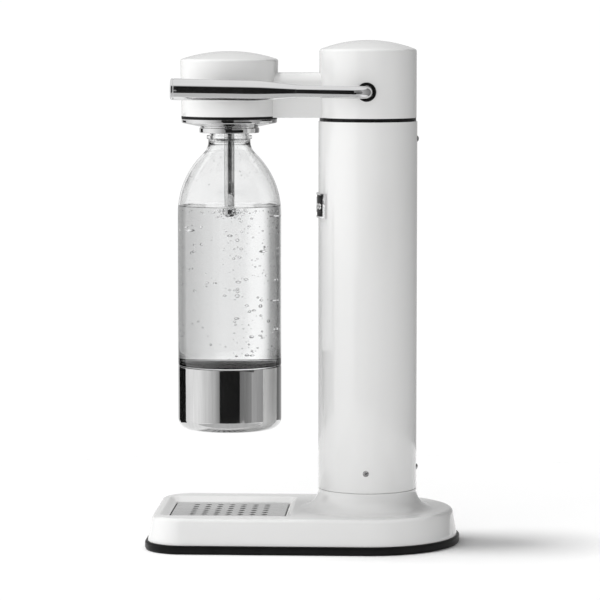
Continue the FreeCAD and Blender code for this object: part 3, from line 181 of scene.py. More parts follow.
def rounded(verts, seg=7):
    """Outline of (x, z, radius) corners, mm, as points with round corners."""
    out = []
    n = len(verts)
    for i, v in enumerate(verts):
        x, z = v[0], v[1]
        r = v[2] if len(v) > 2 else 0.0
        if r <= 0:
            out.append((x, z))
            continue
        a, b = Vector(verts[i - 1][:2]), Vector(verts[(i + 1) % n][:2])
        p = Vector((x, z))
        u, w = (a - p).normalized(), (b - p).normalized()
        half = u.angle(w) / 2
        d = min(r / math.tan(half), (a - p).length * 0.499, (b - p).length * 0.499)
        rr = d * math.tan(half)
        c = p + (u + w).normalized() * (rr / math.sin(half))
        s, e = p + u * d, p + w * d
        a0 = math.atan2(s.y - c.y, s.x - c.x)
        a1 = math.atan2(e.y - c.y, e.x - c.x)
        da = (a1 - a0 + math.pi) % (2 * math.pi) - math.pi
        for k in range(seg + 1):
            t = a0 + da * k / seg
            out.append((c.x + rr * math.cos(t), c.y + rr * math.sin(t)))
    return out


def arc(p, q, r, left, n=24):
    """Points on the arc of radius r from p to q, ends included."""
    p, q = Vector(p), Vector(q)
    d = (q - p).length
    t = math.sqrt(max(0.0, r * r - d * d / 4))
    nl = Vector((-(q.y - p.y), q.x - p.x)) / d
    c = (p + q) / 2 + nl * (t if left else -t)
    a0 = math.atan2(p.y - c.y, p.x - c.x)
    a1 = math.atan2(q.y - c.y, q.x - c.x)
    da = (a1 - a0 + math.pi) % (2 * math.pi) - math.pi
    return [(c.x + r * math.cos(a0 + da * k / n), c.y + r * math.sin(a0 + da * k / n)) for k in range(n + 1)]


def dome(r, edge, apex, n=28):
    """From (r, edge) to the axis at apex along a shallow sphere."""
    cz = (apex * apex - edge * edge - r * r) / (2 * (apex - edge))
    rr = apex - cz
    a0 = math.atan2(edge - cz, r)
    out = []
    for k in range(n + 1):
        a = a0 + (math.pi / 2 - a0) * k / n
        out.append((rr * math.cos(a) if k < n else 0.0, cz + rr * math.sin(a)))
    return out


def add(name, bm, mat, body, replaces=(), angle=32.0, smooth=True):
    me = bpy.data.meshes.new(name)
    bmesh.ops.recalc_face_normals(bm, faces=bm.faces)
    bm.to_mesh(me)
    bm.free()
    if smooth:
        for p in me.polygons:
            p.use_smooth = True
        me.set_sharp_from_angle(angle=math.radians(angle))
    o = bpy.data.objects.new(name, me)
    bpy.context.scene.collection.objects.link(o)
    me.materials.append(mat)
    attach(o, body)
    if replaces:
        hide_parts(*replaces)
    return o


def turn(bm, pts, axis=(0, 0), segs=160, xf=None, phase=0.0):
    """Closed solid of revolution from a closed outline of (radius, height) mm."""
    rings = []
    for r, z in pts:
        if r < 1e-6:
            v = bm.verts.new((axis[0], axis[1], z * MM))
            rings.append([v])
        else:
            rings.append([bm.verts.new((axis[0] + r * MM * math.cos(2 * math.pi * k / segs + phase),
                                        axis[1] + r * MM * math.sin(2 * math.pi * k / segs + phase), z * MM)) for k in range(segs)])
    n = len(rings)
    for i in range(n):
        a, b = rings[i], rings[(i + 1) % n]
        if len(a) == 1 and len(b) == 1:
            continue
        for k in range(segs):
            j = (k + 1) % segs
            if len(a) == 1:
                bm.faces.new((a[0], b[k], b[j]))
            elif len(b) == 1:
                bm.faces.new((a[k], b[0], a[j]))
            else:
                bm.faces.new((a[k], b[k], b[j], a[j]))
    if xf is not None:
        bmesh.ops.transform(bm, matrix=xf, verts=[v for ring in rings for v in ring])
    return rings


def lathe(name, pts, axis, mat, body, replaces=(), segs=160, angle=32.0, phase=0.0):
    bm = bmesh.new()
    turn(bm, pts, axis, segs, phase=phase)
    return add(name, bm, mat, body, replaces, angle)


def bridge(bm, a, b, closed=True):
    n = len(a)
    for k in range(n if closed else n - 1):
        j = (k + 1) % n
        bm.faces.new((a[k], a[j], b[j], b[k]))


def loop(bm, pts, z):
    return [bm.verts.new((x * MM, y * MM, z * MM)) for x, y in pts]


def fill(bm, outer, holes):
    """Flat triangulated sheet between existing loops at one height."""
    loops = [outer] + list(holes)
    verts = [v for lp in loops for v in lp]
    edges, k = [], 0
    for lp in loops:
        n = len(lp)
        edges += [(k + i, k + (i + 1) % n) for i in range(n)]
        k += n
    co = [Vector((v.co.x, v.co.y)) for v in verts]
    polys = []
    k = 0
    for lp in loops:
        polys.append([co[k + i] for i in range(len(lp))])
        k += len(lp)

    def inside(p, poly):
        c = False
        for i in range(len(poly)):
            a, b = poly[i], poly[i - 1]
            if (a.y > p.y) != (b.y > p.y) and p.x < (b.x - a.x) * (p.y - a.y) / (b.y - a.y) + a.x:
                c = not c
        return c
    res = delaunay_2d_cdt(co, edges, [], 0, 1e-9)
    out_v, out_f, origin = res[0], res[2], res[3]
    remap = {}
    for i, src in enumerate(origin):
        remap[i] = verts[src[0]] if src else bm.verts.new((out_v[i].x, out_v[i].y, outer[0].co.z))
    for f in out_f:
        c = sum((out_v[i] for i in f), Vector((0, 0))) / len(f)
        if inside(c, polys[0]) and not any(inside(c, h) for h in polys[1:]):
            try:
                bm.faces.new([remap[i] for i in f])
            except ValueError:
                pass


def plan(r, front, corner, na=72, nc=20, ns=24):
    """Base outline about the column axis, mm, as points in frame x, y."""
    cx, cy = COL[0] / MM, COL[1] / MM
    pts = []
    for k in range(na + 1):
        a = math.pi * k / na
        pts.append((r * math.cos(a), r * math.sin(a)))
    for k in range(1, ns):
        t = k / ns
        pts.append((-r, -(front - corner) * t))
    for k in range(nc + 1):
        a = math.pi + (math.pi / 2) * k / nc
        pts.append((-r + corner + corner * math.cos(a), -front + corner + corner * math.sin(a)))
    for k in range(1, ns):
        t = k / ns
        pts.append((-r + corner + (2 * r - 2 * corner) * t, -front))
    for k in range(nc + 1):
        a = 1.5 * math.pi + (math.pi / 2) * k / nc
        pts.append((r - corner + corner * math.cos(a), -front + corner + corner * math.sin(a)))
    for k in range(1, ns):
        t = k / ns
        pts.append((r, -(front - corner) * (1 - t)))
    return [(x + cx, y + cy) for x, y in pts]


def slab(x, y0, y1, c, nc=10):
    """Rounded rectangle about the column axis: front edge -y0, rear edge -y1."""
    cx, cy = COL[0] / MM, COL[1] / MM
    pts = []
    for ox, oy, a0 in ((x - c, -y1 - c, 0), (-x + c, -y1 - c, 90), (-x + c, -y0 + c, 180), (x - c, -y0 + c, 270)):
        for k in range(nc + 1):
            a = math.radians(a0 + 90 * k / nc)
            pts.append((ox + c * math.cos(a) + cx, oy + c * math.sin(a) + cy))
    return pts


def disc_loop(bm, centre_mm, r, z, segs):
    return [bm.verts.new(((centre_mm[0] + r * math.cos(2 * math.pi * k / segs)) * MM,
                          (centre_mm[1] + r * math.sin(2 * math.pi * k / segs)) * MM, z * MM)) for k in range(segs)]


# ------------------------------------------------------------------ base shell
bm = bmesh.new()
draft = math.radians(10.0)
Z0, Z1, RB, FR, CR = 7.0, 28.5, 74.3, 178.0, 30.0


def ring_at(d, z):
    return loop(bm, plan(RB - d, FR - d, CR - d), z)


rings = [ring_at(2.6, Z0 + 0.02), ring_at(0.4, Z0 + 0.02), ring_at(0.1, Z0 + 0.12), ring_at(0.03, Z0 + 0.4)]
slope = [(math.tan(draft) * (z - Z0), z) for z in (10, 13, 16, 19, 22)]
R = 4.0
top_d = math.tan(draft) * (Z1 - Z0)
# fillet between the sloping side and the flat top
half = math.radians(90 + 10) / 2
run = R / math.tan(half)
cx_, cz_ = top_d + run * 1.0, Z1 - R
a_start, a_end = math.radians(180 - 10), math.radians(90)
prof = list(slope)
for k in range(13):
    a = a_start + (a_end - a_start) * k / 12
    prof.append((cx_ + R * math.cos(a), cz_ + R * math.sin(a)))
for d, z in prof:
    rings.append(ring_at(d, z))
rings.append(ring_at(cx_ + 0.5, Z1))
for a, b in zip(rings, rings[1:]):
    bridge(bm, a, b)
# flare up to the column
col = (COL[0] / MM, COL[1] / MM)
FLR, TR = 16.0, 40.5
seg = 192
flare = [disc_loop(bm, col, TR + FLR + 0.5, Z1, seg)]
for k in range(19):
    a = math.pi / 2 * k / 18
    flare.append(disc_loop(bm, col, TR + FLR - FLR * math.sin(a), Z1 + FLR - FLR * math.cos(a), seg))
for r, z in ((TR, 44.62), (TR - 0.1, 44.9), (TR - 0.35, 45.05), (39.05, 45.05), (39.05, 31.0), (36.0, 31.0), (36.0, 25.75), (57.0, 25.75)):
    flare.append(disc_loop(bm, col, r, z, seg))
for a, b in zip(flare, flare[1:]):
    bridge(bm, a, b)
# dished opening for the tray
dish = [slab(53.7, 169.3, 58.9, 9.7)]
dz = [Z1]
for x, y0, y1, c, z in ((53.2, 168.8, 59.4, 9.2, 28.5), (52.5, 168.1, 60.1, 8.6, 28.42), (51.6, 167.4, 60.8, 8.0, 28.15), (50.5, 166.6, 61.6, 7.5, 27.6),
                        (47.6, 164.5, 63.6, 6.3, 26.0), (45.4, 163.0, 65.0, 5.5, 24.9), (44.6, 162.45, 65.55, 5.2, 24.6), (44.1, 162.1, 65.9, 5.05, 24.45),
                        (44.0, 162.0, 66.0, 5.0, 24.2), (44.0, 162.0, 66.0, 5.0, 21.8), (41.6, 159.6, 68.4, 4.0, 21.8), (41.6, 159.6, 68.4, 4.0, 18.6),
                        (54.2, 171.0, 56.0, 8.0, 18.6), (54.2, 171.0, 56.2, 8.0, 25.75)):
    dish.append(slab(x, y0, y1, c))
    dz.append(z)
dl = [loop(bm, p, z) for p, z in zip(dish, dz)]
for a, b in zip(dl, dl[1:]):
    bridge(bm, a, b)
fill(bm, rings[-1], [flare[0], dl[0]])
# inner skin, down to the lower edge again
inner = [loop(bm, plan(RB - d, FR - d, max(CR - d, 4)), z) for d, z in ((6.0, 25.75), (2.9, 9.0), (2.6, 7.3))]
bridge(bm, inner[0], inner[1])
bridge(bm, inner[1], inner[2])
bridge(bm, inner[2], rings[0])
base_shell = add("base_shell_skin", bm, ENAMEL, "stand", ("base_shell",), angle=40)

# --------------------------------------------------------------- rubber foot
bm = bmesh.new()
foot = []
for d, z in ((9.0, 0.0), (2.6, 0.0), (1.5, 0.12), (0.75, 0.55), (0.2, 1.3), (0.0, 2.2), (0.0, 5.6), (0.12, 6.4), (0.5, 6.85), (1.2, 7.0), (9.0, 7.0)):
    foot.append(loop(bm, plan(76.3 - d, 180.3 - d, 32.0 - d), z))
for a, b in zip(foot, foot[1:] + foot[:1]):
    bridge(bm, a, b)
add("foot_band", bm, RUBBER, "stand", ("foot_ring",), angle=50)

# -------------------------------------------------------------- drip grille
bm = bmesh.new()
top = [slab(42.0, 160.0, 68.0, 3.2)]
gz = [24.6]
for x, y0, y1, c, z in ((42.5, 160.5, 67.5, 3.6, 24.58), (42.85, 160.85, 67.15, 3.9, 24.4), (43.0, 161.0, 67.0, 4.0, 24.1), (43.0, 161.0, 67.0, 4.0, 23.0)):
    top.append(slab(x, y0, y1, c))
    gz.append(z)
gl = [loop(bm, p, z) for p, z in zip(top, gz)]
for a, b in zip(gl, gl[1:]):
    bridge(bm, a, b)
upper, lower = [], []
ny = NOZ[1] / MM
for i in range(7):
    for j in range(7):
        c = ((i - 3) * 9.9, ny + (j - 3) * 9.9)
        ls = [disc_loop(bm, c, r, z, 28) for r, z in ((2.86, 24.6), (2.66, 24.56), (2.5, 24.4), (2.5, 23.2), (2.6, 23.0))]
        for a, b in zip(ls, ls[1:]):
            bridge(bm, a, b)
        upper.append(ls[0])
        lower.append(ls[-1])
fill(bm, gl[0], upper)
fill(bm, gl[-1], lower)
add("drip_grille_plate", bm, GRILLE_STEEL, "grille", ("drip_grille",), angle=40)

# -------------------------------------------------------------------- column
lathe("column_skin", rounded([(39.06, 45.4, 0), (40.56, 45.4, 0.3), (40.56, 347.8, 0.15), (39.06, 347.8, 0)], 5), COL, ENAMEL, "stand", ("column_tube",), 192)
lathe("shadow_gap", rounded([(39.05, 347.8, 0), (39.6, 347.8, 0.1), (39.6, 350.7, 0.1), (39.05, 350.7, 0)], 3), COL, PLASTIC, "stand", ("gap_ring",), 160)


def head_outline(r_low, z_low, r_edge, edge, apex, wall, soft=2.4):
    d = dome(r_edge, edge, apex, 36)
    corner = rounded([(r_low - wall, z_low, 0), (r_low, z_low, 0.15), (r_edge, edge, soft), d[3] + (0,)], 9)
    inner = dome(r_edge - wall, edge - wall, apex - wall, 20)
    return corner[:-1] + d[3:] + list(reversed(inner))


head = head_outline(39.9, 350.7, 39.9, 406.3, 414.0, 2.5)
lathe("column_cap", head, COL, ENAMEL, "stand", ("column_head",), 224, angle=50)
nose = head_outline(39.2, 351.8, 40.2, 398.2, 404.9, 2.5)
lathe("nozzle_cap", nose, NOZ, ENAMEL, "stand", ("nozzle_head",), 224, angle=50)

# ------------------------------------------------------------ nozzle station
lathe("bell_gasket", rounded([(30, 349.5, 0), (39.35, 349.5, 0.5), (39.35, 351.8, 0.2), (30, 351.8, 0)], 5), NOZ, SEAL, "stand", ("head_gasket",), 160)
bell = rounded([(39.2, 349.5, 0.15), (37.8, 349.5, 0), (37.8, 347.9, 0), (25.6, 345.0, 0), (19.0, 345.0, 0.1), (19.0, 343.5, 0.2), (26.0, 343.5, 3.0),
                (38.7, 346.2, 0.6), (39.2, 346.9, 0.5)], 9)
lathe("bell", bell, NOZ, CHROME, "stand", ("nozzle_bell",), 224, angle=38)
collar = rounded([(18.9, 338.0, 0.2), (24.6, 338.0, 0.8), (24.6, 341.9, 0.5), (23.7, 342.6, 0.35), (23.7, 343.5, 0), (18.9, 343.5, 0)], 8)
lathe("collar", collar, NOZ, CHROME, "stand", ("nozzle_collar",), 192, angle=38)
lathe("dip_tube", rounded([(3.0, 275.2, 0.1), (4.14, 275.2, 0.15), (4.14, 357.0, 0.1), (3.0, 357.0, 0.1)], 3), NOZ, TUBE_STEEL, "stand", ("carbonation_tube",), 64)
tip = rounded([(0.5, 269.6, 0.1), (2.6, 269.6, 0.35), (4.24, 271.2, 0.6), (4.24, 275.2, 0.3), (2.98, 275.2, 0), (2.98, 279.2, 0), (0.5, 279.2, 0)], 5)
lathe("dip_jet", tip, NOZ, TUBE_STEEL, "stand", ("nozzle_tip",), 64)

# ---------------------------------------------------------------------- lever
PIVOT = Matrix.Translation(Vector((0, COL[1], LEVER_Z))) @ Matrix.Rotation(-RISE, 4, "X")


def rod_path():
    pts = [(-24.0, 0.0)]
    pts += [(x, 0.0) for x in (-10, 0, 10, 20, 30, 38)]
    for k in range(19):
        a = math.pi / 2 * k / 18
        pts.append((44.0 + 10.0 * math.sin(a), -10.0 + 10.0 * math.cos(a)))
    pts += [(54.0, -y) for y in (20, 30, 40, 50, 60, 70, 80, 96)]
    return pts


bm = bmesh.new()
path = rod_path()
ring, segs = [], 64
for i, (x, y) in enumerate(path):
    a = Vector(path[max(i - 1, 0)])
    b = Vector(path[min(i + 1, len(path) - 1)])
    t = (b - a).normalized()
    n = Vector((t.y, -t.x))
    ring.append([bm.verts.new(((x + 5.05 * math.cos(2 * math.pi * k / segs) * n.x) * MM,
                               (y + 5.05 * math.cos(2 * math.pi * k / segs) * n.y) * MM,
                               5.05 * math.sin(2 * math.pi * k / segs) * MM)) for k in range(segs)])
for a, b in zip(ring, ring[1:]):
    bridge(bm, a, b)
bm.faces.new(ring[0])
bm.faces.new(ring[-1])
bmesh.ops.transform(bm, matrix=PIVOT, verts=bm.verts)
add("lever_rod", bm, CHROME, "lever", ("lever_arm",), angle=50)

ALONG = PIVOT @ Matrix.Translation(Vector((54.0 * MM, 0, 0))) @ Matrix.Rotation(math.pi / 2, 4, "X")
grip = [(5.08, 56.0), (5.25, 56.0), (5.42, 56.15)]
ctrl = [(56.15, 5.42), (59, 5.58), (63, 5.90), (67, 6.32), (71.5, 6.80), (76, 7.28), (80, 7.66), (84, 8.0), (87, 8.22), (91, 8.36), (96, 8.43), (110, 8.49), (130, 8.59), (150, 8.68), (154.2, 8.70)]
grip += [(r, h) for h, r in ctrl[1:]]
grip += [(8.66, 154.65), (8.5, 154.88), (8.3, 154.9), (5.6, 154.9), (5.6, 96.5), (5.08, 96.5)]
bm = bmesh.new()
turn(bm, grip, (0, 0), 96, ALONG)
add("lever_handle", bm, CHROME, "lever", ("lever_grip",), angle=36)
cap = rounded([(0, 149.0), (5.55, 149.0, 0.3), (5.55, 154.95, 0), (8.35, 154.95, 0), (8.35, 155.25, 0), (8.65, 155.35, 0.15), (8.65, 157.2, 0.9), (0, 157.2)], 8)
bm = bmesh.new()
turn(bm, cap, (0, 0), 96, ALONG)
add("lever_cap", bm, CHROME, "lever", ("lever_end_cap",), angle=36)

bm = bmesh.new()
bush = rounded([(5.1, 29.0, 0), (7.8, 29.0, 0.2), (7.8, 40.5, 0.7), (5.9, 40.5, 0.25), (5.7, 39.9, 0.1), (5.1, 39.9, 0.15)], 5)
turn(bm, bush, (0, 0), 72, Matrix.Translation(Vector((0, COL[1], LEVER_Z))) @ Matrix.Rotation(math.pi / 2, 4, "Y"))
add("lever_bush", bm, PLASTIC, "stand", ("lever_bush_right",), angle=40)

# --------------------------------------------------------------------- bottle
OUT = [(16.2, 342.3), (16.2, 336.1), (16.35, 336.0), (18.2, 336.0), (18.5, 335.8), (18.6, 335.4), (18.6, 333.6), (18.5, 333.2), (18.2, 333.0), (17.5, 333.0), (17.3, 332.8)]
OUT += arc((17.3, 330.7), (21.1, 321.5), 13.0, True, 14)
OUT += arc((21.1, 321.5), (42.55, 272.0), 68.0, False, 40)[1:]
OUT += [(42.55, z) for z in (250, 230, 210, 190, 170, 155, 147.6)]
OUT += [(42.5, 147.0), (42.25, 146.6), (40.4, 146.5), (40.05, 146.3), (40.0, 145.8), (40.0, 130), (40.0, 115), (40.0, 106.6), (39.8, 106.0), (31.9, 98.1), (31.3, 97.8), (15, 97.8), (0, 97.8)]
IN = [(0, 99.8), (15, 99.8), (30.6, 99.8), (31.2, 100.05), (37.6, 106.3), (38.0, 107.0), (38.0, 120), (38.0, 143.4), (38.2, 144.4), (40.2, 149.4), (40.55, 150.4), (40.55, 170), (40.55, 200), (40.55, 230), (40.55, 255)]
IN += list(reversed(arc((19.7, 320.1), (40.55, 272.0), 66.0, False, 40)))
IN += [(18.6, 321.9), (17.2, 324.4), (15.9, 327.2), (14.7, 330.0), (13.9, 331.6), (13.5, 333.0), (13.5, 338), (13.5, 342.2)]
RIM = [(13.65, 342.55), (14.0, 342.7), (15.7, 342.7), (16.05, 342.6)]
lathe("bottle_shell", OUT + IN + RIM, NOZ, PET, "bottle", ("bottle_vessel",), 288, angle=60)

cup = [(0, 93.8), (15, 93.8)] + arc((33.6, 93.8), (42.6, 102.8), 9.0, True, 18) + [(42.6, 115), (42.6, 130), (42.6, 145.55), (42.53, 145.88), (42.3, 146.0), (41.9, 146.0), (41.73, 145.9), (41.7, 145.6)]
cup += list(reversed(arc((33.6, 94.7), (41.7, 102.8), 8.1, True, 12))) + [(15, 94.7), (0, 94.7)]
lathe("cup_sleeve", cup, NOZ, CUP_STEEL, "bottle", ("bottle_cup",), 256, angle=40)
liner = [(0, 94.75), (15, 94.75)] + arc((33.6, 94.75), (41.65, 102.8), 8.05, True, 12) + [(41.65, 120), (41.65, 145.8), (41.5, 146.0), (40.2, 146.0), (40.05, 145.8), (40.05, 120), (40.05, 106.2), (31.45, 97.7), (0, 97.7)]
lathe("cup_inner", liner, NOZ, LINER, "bottle", ("cup_liner",), 160, angle=40)

# water: sits a hair inside the wall so that only one surface is seen
LEVEL = 277.7
lap = 0.12


def inner_r(z):
    pts = [p for p in IN if p[1] > 99.9]
    for a, b in zip(pts, pts[1:]):
        if a[1] <= z <= b[1]:
            return a[0] + (b[0] - a[0]) * (z - a[1]) / max(b[1] - a[1], 1e-9)
    return pts[-1][0]


rw = inner_r(LEVEL)
wat = [(0, 99.8 - lap), (15, 99.8 - lap), (30.6, 99.8 - lap)]
wat += [(r + lap, z) for r, z in IN[3:] if z < LEVEL - 2.2]
wat += [(inner_r(LEVEL - 1.2) + lap, LEVEL - 1.2), (inner_r(LEVEL + 0.9) + lap, LEVEL + 0.95)]
for d, up in ((0.15, 0.9), (0.5, 0.62), (1.0, 0.36), (1.7, 0.15), (2.6, 0.05), (4.0, 0.0)):
    wat.append((rw - d, LEVEL + up))
wat += [(26, LEVEL), (14, LEVEL), (5.2, LEVEL + 0.02), (4.6, LEVEL + 0.12), (4.2, LEVEL + 0.3), (3.6, LEVEL + 0.3), (0, LEVEL + 0.3)]
lathe("water", wat, NOZ, WATER, "bottle", (), 288, angle=60)

# -------------------------------------------------------------------- bubbles
AIR, nt, p = nodes_of("gas_bubble")
v = coords(nt)
nt.links.new(ramp(nt, noise(nt, v, 90, 2.0), [(0.3, (0.97, 0.975, 0.98)), (0.7, (1.0, 1.0, 1.0))]), p.inputs["Base Color"])
nt.links.new(span(nt, noise(nt, v, 200, 2.0), 0.0, 0.01), p.inputs["Roughness"])
p.inputs["Transmission Weight"].default_value = 1.0
p.inputs["IOR"].default_value = 0.752

rng = random.Random(20611)


def blob(bm, at, r, tall, squash=None, level=2):
    res = bmesh.ops.create_icosphere(bm, subdivisions=level, radius=r * MM)
    for vv in res["verts"]:
        c = vv.co
        z = c.z * tall
        taper = 1.0 - 0.22 * (c.z / (r * MM))
        c.x *= taper
        c.y *= taper
        c.z = z
        if squash is not None:
            d = c.dot(squash[0])
            c -= squash[0] * d * (1 - squash[1])
        vv.co = c + Vector(at) * MM


bm = bmesh.new()
nx, ny_ = NOZ[0] / MM, NOZ[1] / MM
made = []
while len(made) < 260:
    h = rng.random()
    z = 150 + (LEVEL - 158) * (h ** 0.8)
    wall = rng.random() < 0.55
    lim = inner_r(z) - 2.6
    rad = lim * (0.93 + 0.07 * rng.random()) if wall else lim * math.sqrt(rng.random())
    side = rng.gauss(50, 75)
    a = math.radians(side)
    x, y = rad * math.cos(a), rad * math.sin(a)
    r = 0.42 + 1.3 * rng.random() ** 2.4
    if abs(x) < 6 and abs(y) < 6 and z > 262:
        continue
    if any((x - q[0]) ** 2 + (y - q[1]) ** 2 + (z - q[2]) ** 2 < (r + q[3] + 0.9) ** 2 for q in made):
        continue
    made.append((x, y, z, r))
    blob(bm, (nx + x, ny_ + y, z), r, 0.72 + 0.28 * rng.random())
# a knot of bubbles round the jet, and a fringe under the surface at the wall
tries = 0
while len(made) < 330 and tries < 6000:
    tries += 1
    if len(made) < 290:
        a = 2 * math.pi * rng.random()
        rad = 5.4 + 5.0 * rng.random() ** 1.5
        z = 268.5 + 8.2 * rng.random()
        r = 0.4 + 0.85 * rng.random()
    else:
        a = math.radians(rng.gauss(20, 60))
        z = LEVEL - 1.6 - 2.4 * rng.random()
        rad = inner_r(z) - 1.7
        r = 0.35 + 0.6 * rng.random()
    x, y = rad * math.cos(a), rad * math.sin(a)
    if z + r > LEVEL - 0.35 or rad - r < 4.6:
        continue
    if any((x - q[0]) ** 2 + (y - q[1]) ** 2 + (z - q[2]) ** 2 < (r + q[3] + 0.25) ** 2 for q in made):
        continue
    made.append((x, y, z, r))
    blob(bm, (nx + x, ny_ + y, z), r, 0.9)
add("bubbles", bm, AIR, "bottle", (), angle=180)

# droplets on the dry wall above the water
bm = bmesh.new()
drops = []
tries = 0
while len(drops) < 85 and tries < 6000:
    tries += 1
    z = LEVEL + 5 + 48 * rng.random() ** 0.8
    a = 2 * math.pi * rng.random()
    r = 0.28 + 0.42 * rng.random() ** 2
    rad = inner_r(z) - r * 1.02
    x, y = rad * math.cos(a), rad * math.sin(a)
    if any((x - q[0]) ** 2 + (y - q[1]) ** 2 + (z - q[2]) ** 2 < (r + q[3] + 0.4) ** 2 for q in drops):
        continue
    drops.append((x, y, z, r))
    blob(bm, (nx + x, ny_ + y, z), r, 0.98)
add("wall_droplets", bm, WATER, "bottle", (), angle=180)

# ---------------------------------------------------------------------- springs
def spring(node, wire, turns):
    """A coil of round wire that fills the spring part's box."""
    lo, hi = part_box(node)
    cx, cy = (lo.x + hi.x) / 2, (lo.y + hi.y) / 2
    radius = (hi.x - lo.x) / 2 - wire
    z0, z1 = lo.z + wire, hi.z - wire
    steps, around = int(turns * 40), 12
    pitch = (z1 - z0) / (2 * math.pi * turns * radius)
    lean = math.atan(pitch)
    bm = bmesh.new()
    rings = []
    for k in range(steps + 1):
        t = k / steps
        a = 2 * math.pi * turns * t
        out = Vector((math.cos(a), math.sin(a), 0))
        side = Vector((math.sin(a) * math.sin(lean), -math.cos(a) * math.sin(lean), math.cos(lean)))
        mid = Vector((cx, cy, z0 + (z1 - z0) * t)) + out * radius
        ring = [bm.verts.new(mid + (out * math.cos(2 * math.pi * q / around) + side * math.sin(2 * math.pi * q / around)) * wire * 0.995) for q in range(around)]
        if rings:
            prev = rings[-1]
            for q in range(around):
                r = (q + 1) % around
                bm.faces.new((prev[q], prev[r], ring[r], ring[q]))
        rings.append(ring)
    bm.faces.new(rings[0][::-1])
    bm.faces.new(rings[-1])
    o = add(node + "_coil", bm, SPRING, "stand", (node,), angle=60)
    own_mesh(o)


spring("plunger_spring", 0.0006, 5)
spring("relief_spring", 0.0004, 6)

# ------------------------------------------------- materials of the CAD nodes
FINISH = {
    "foot_ring": RUBBER, "base_plate": ZINC, "base_screws": SCREW, "column_socket": ZINC, "cylinder_guide": NATURAL,
    "side_screws": SCREW, "back_screws": SCREW, "head_socket": ZINC, "inner_frame": ZINC, "frame_screws": SCREW, "valve_block": BRASS,
    "cylinder_seal": SEAL, "plunger_spring": SPRING, "gas_tube": TUBE_STEEL, "nozzle_core": NATURAL, "nozzle_screws": SCREW,
    "bottle_seal": SEAL, "relief_body": BRASS, "relief_spring": SPRING, "lever_bush_left": PLASTIC, "badge_frame": CHROME,
    "badge_inlay": INLAY, "badge_emblem": CHROME, "drip_pan": PLASTIC, "lever_cam": CAST, "plunger": TUBE_STEEL, "gas_cylinder": CYLINDER,
    "cylinder_valve": BRASS, "valve_pin": TUBE_STEEL, "relief_poppet": BRASS, "arm_shell": ENAMEL, "base_shell": ENAMEL,
    "column_tube": ENAMEL, "gap_ring": PLASTIC, "column_head": ENAMEL, "nozzle_head": ENAMEL, "head_gasket": SEAL, "nozzle_bell": CHROME,
    "nozzle_collar": CHROME, "carbonation_tube": TUBE_STEEL, "nozzle_tip": TUBE_STEEL, "lever_bush_right": PLASTIC, "drip_grille": GRILLE_STEEL,
    "lever_arm": CHROME, "lever_grip": CHROME, "lever_end_cap": CHROME, "bottle_vessel": PET, "bottle_cup": CUP_STEEL, "cup_liner": LINER,
}
for name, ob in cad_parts.items():
    m = FINISH[name]
    if not ob.material_slots:
        ob.data.materials.append(m)
    for ms in ob.material_slots:
        ms.material = m

# ------------------------------------------------------------------------ floor
bm = bmesh.new()
prev = None
centre_v = bm.verts.new((0, 0, 0))
radii = [0.05, 0.12, 0.2, 0.28, 0.36, 0.44, 0.52]
for r in radii:
    cur = [bm.verts.new((r * math.cos(2 * math.pi * k / 96), r * math.sin(2 * math.pi * k / 96), 0)) for k in range(96)]
    for k in range(96):
        j = (k + 1) % 96
        if prev is None:
            bm.faces.new((centre_v, cur[k], cur[j]))
        else:
            bm.faces.new((prev[k], cur[k], cur[j], prev[j]))
    prev = cur
me = bpy.data.meshes.new("floor")
bm.to_mesh(me)
bm.free()
floor = bpy.data.objects.new("floor", me)
bpy.context.scene.collection.objects.link(floor)
PALE = finish_mat("pale_floor", (0.94, 0.94, 0.94), (0.955, 0.955, 0.955), (0.75, 0.85), scale=4, grain=(120, 0.02, 0.0002), specular=0.0)
PALE.node_tree.nodes["Principled BSDF"].inputs["Emission Color"].default_value = (1, 1, 1, 1)
PALE.node_tree.nodes["Principled BSDF"].inputs["Emission Strength"].default_value = 0.03
me.materials.append(PALE)

# ------------------------------------------------------------------------ world
world = bpy.data.worlds.new("studio")
bpy.context.scene.world = world
world.use_nodes = True
nt = world.node_tree
nt.nodes.clear()
out = nt.nodes.new("ShaderNodeOutputWorld")
tc = nt.nodes.new("ShaderNodeTexCoord")
xyz = nt.nodes.new("ShaderNodeSeparateXYZ")
nt.links.new(tc.outputs["Generated"], xyz.inputs[0])


def mnode(op, a, b=None, clamp=False):
    n = nt.nodes.new("ShaderNodeMath")
    n.operation = op
    n.use_clamp = clamp
    for i, s in enumerate((a, b)):
        if s is None:
            continue
        if isinstance(s, (int, float)):
            n.inputs[i].default_value = s
        else:
            nt.links.new(s, n.inputs[i])
    return n.outputs[0]


az = mnode("ARCTAN2", xyz.outputs["Y"], xyz.outputs["X"])
az01 = mnode("ADD", mnode("MULTIPLY", az, 1 / (2 * math.pi)), 0.5)          # 0 at -180, 1 at +180 degrees
el = mnode("ARCSINE", xyz.outputs["Z"])
el01 = mnode("ADD", mnode("MULTIPLY", el, 1 / math.pi), 0.5)               # 0 straight down, 1 straight up


def band(fac, stops, lo, hi):
    """Stops of (degrees, value); soft steps come from paired stops."""
    r = nt.nodes.new("ShaderNodeValToRGB")
    r.color_ramp.interpolation = "LINEAR"
    els = r.color_ramp.elements
    while len(els) < len(stops):
        els.new(0.5)
    top = max(v for _, v in stops)
    for e, (d, v) in zip(els, stops):
        e.position = (d - lo) / (hi - lo)
        c = v / top
        e.color = (c, c, c, 1)
    nt.links.new(fac, r.inputs["Fac"])
    return mnode("MULTIPLY", r.outputs["Color"], top)


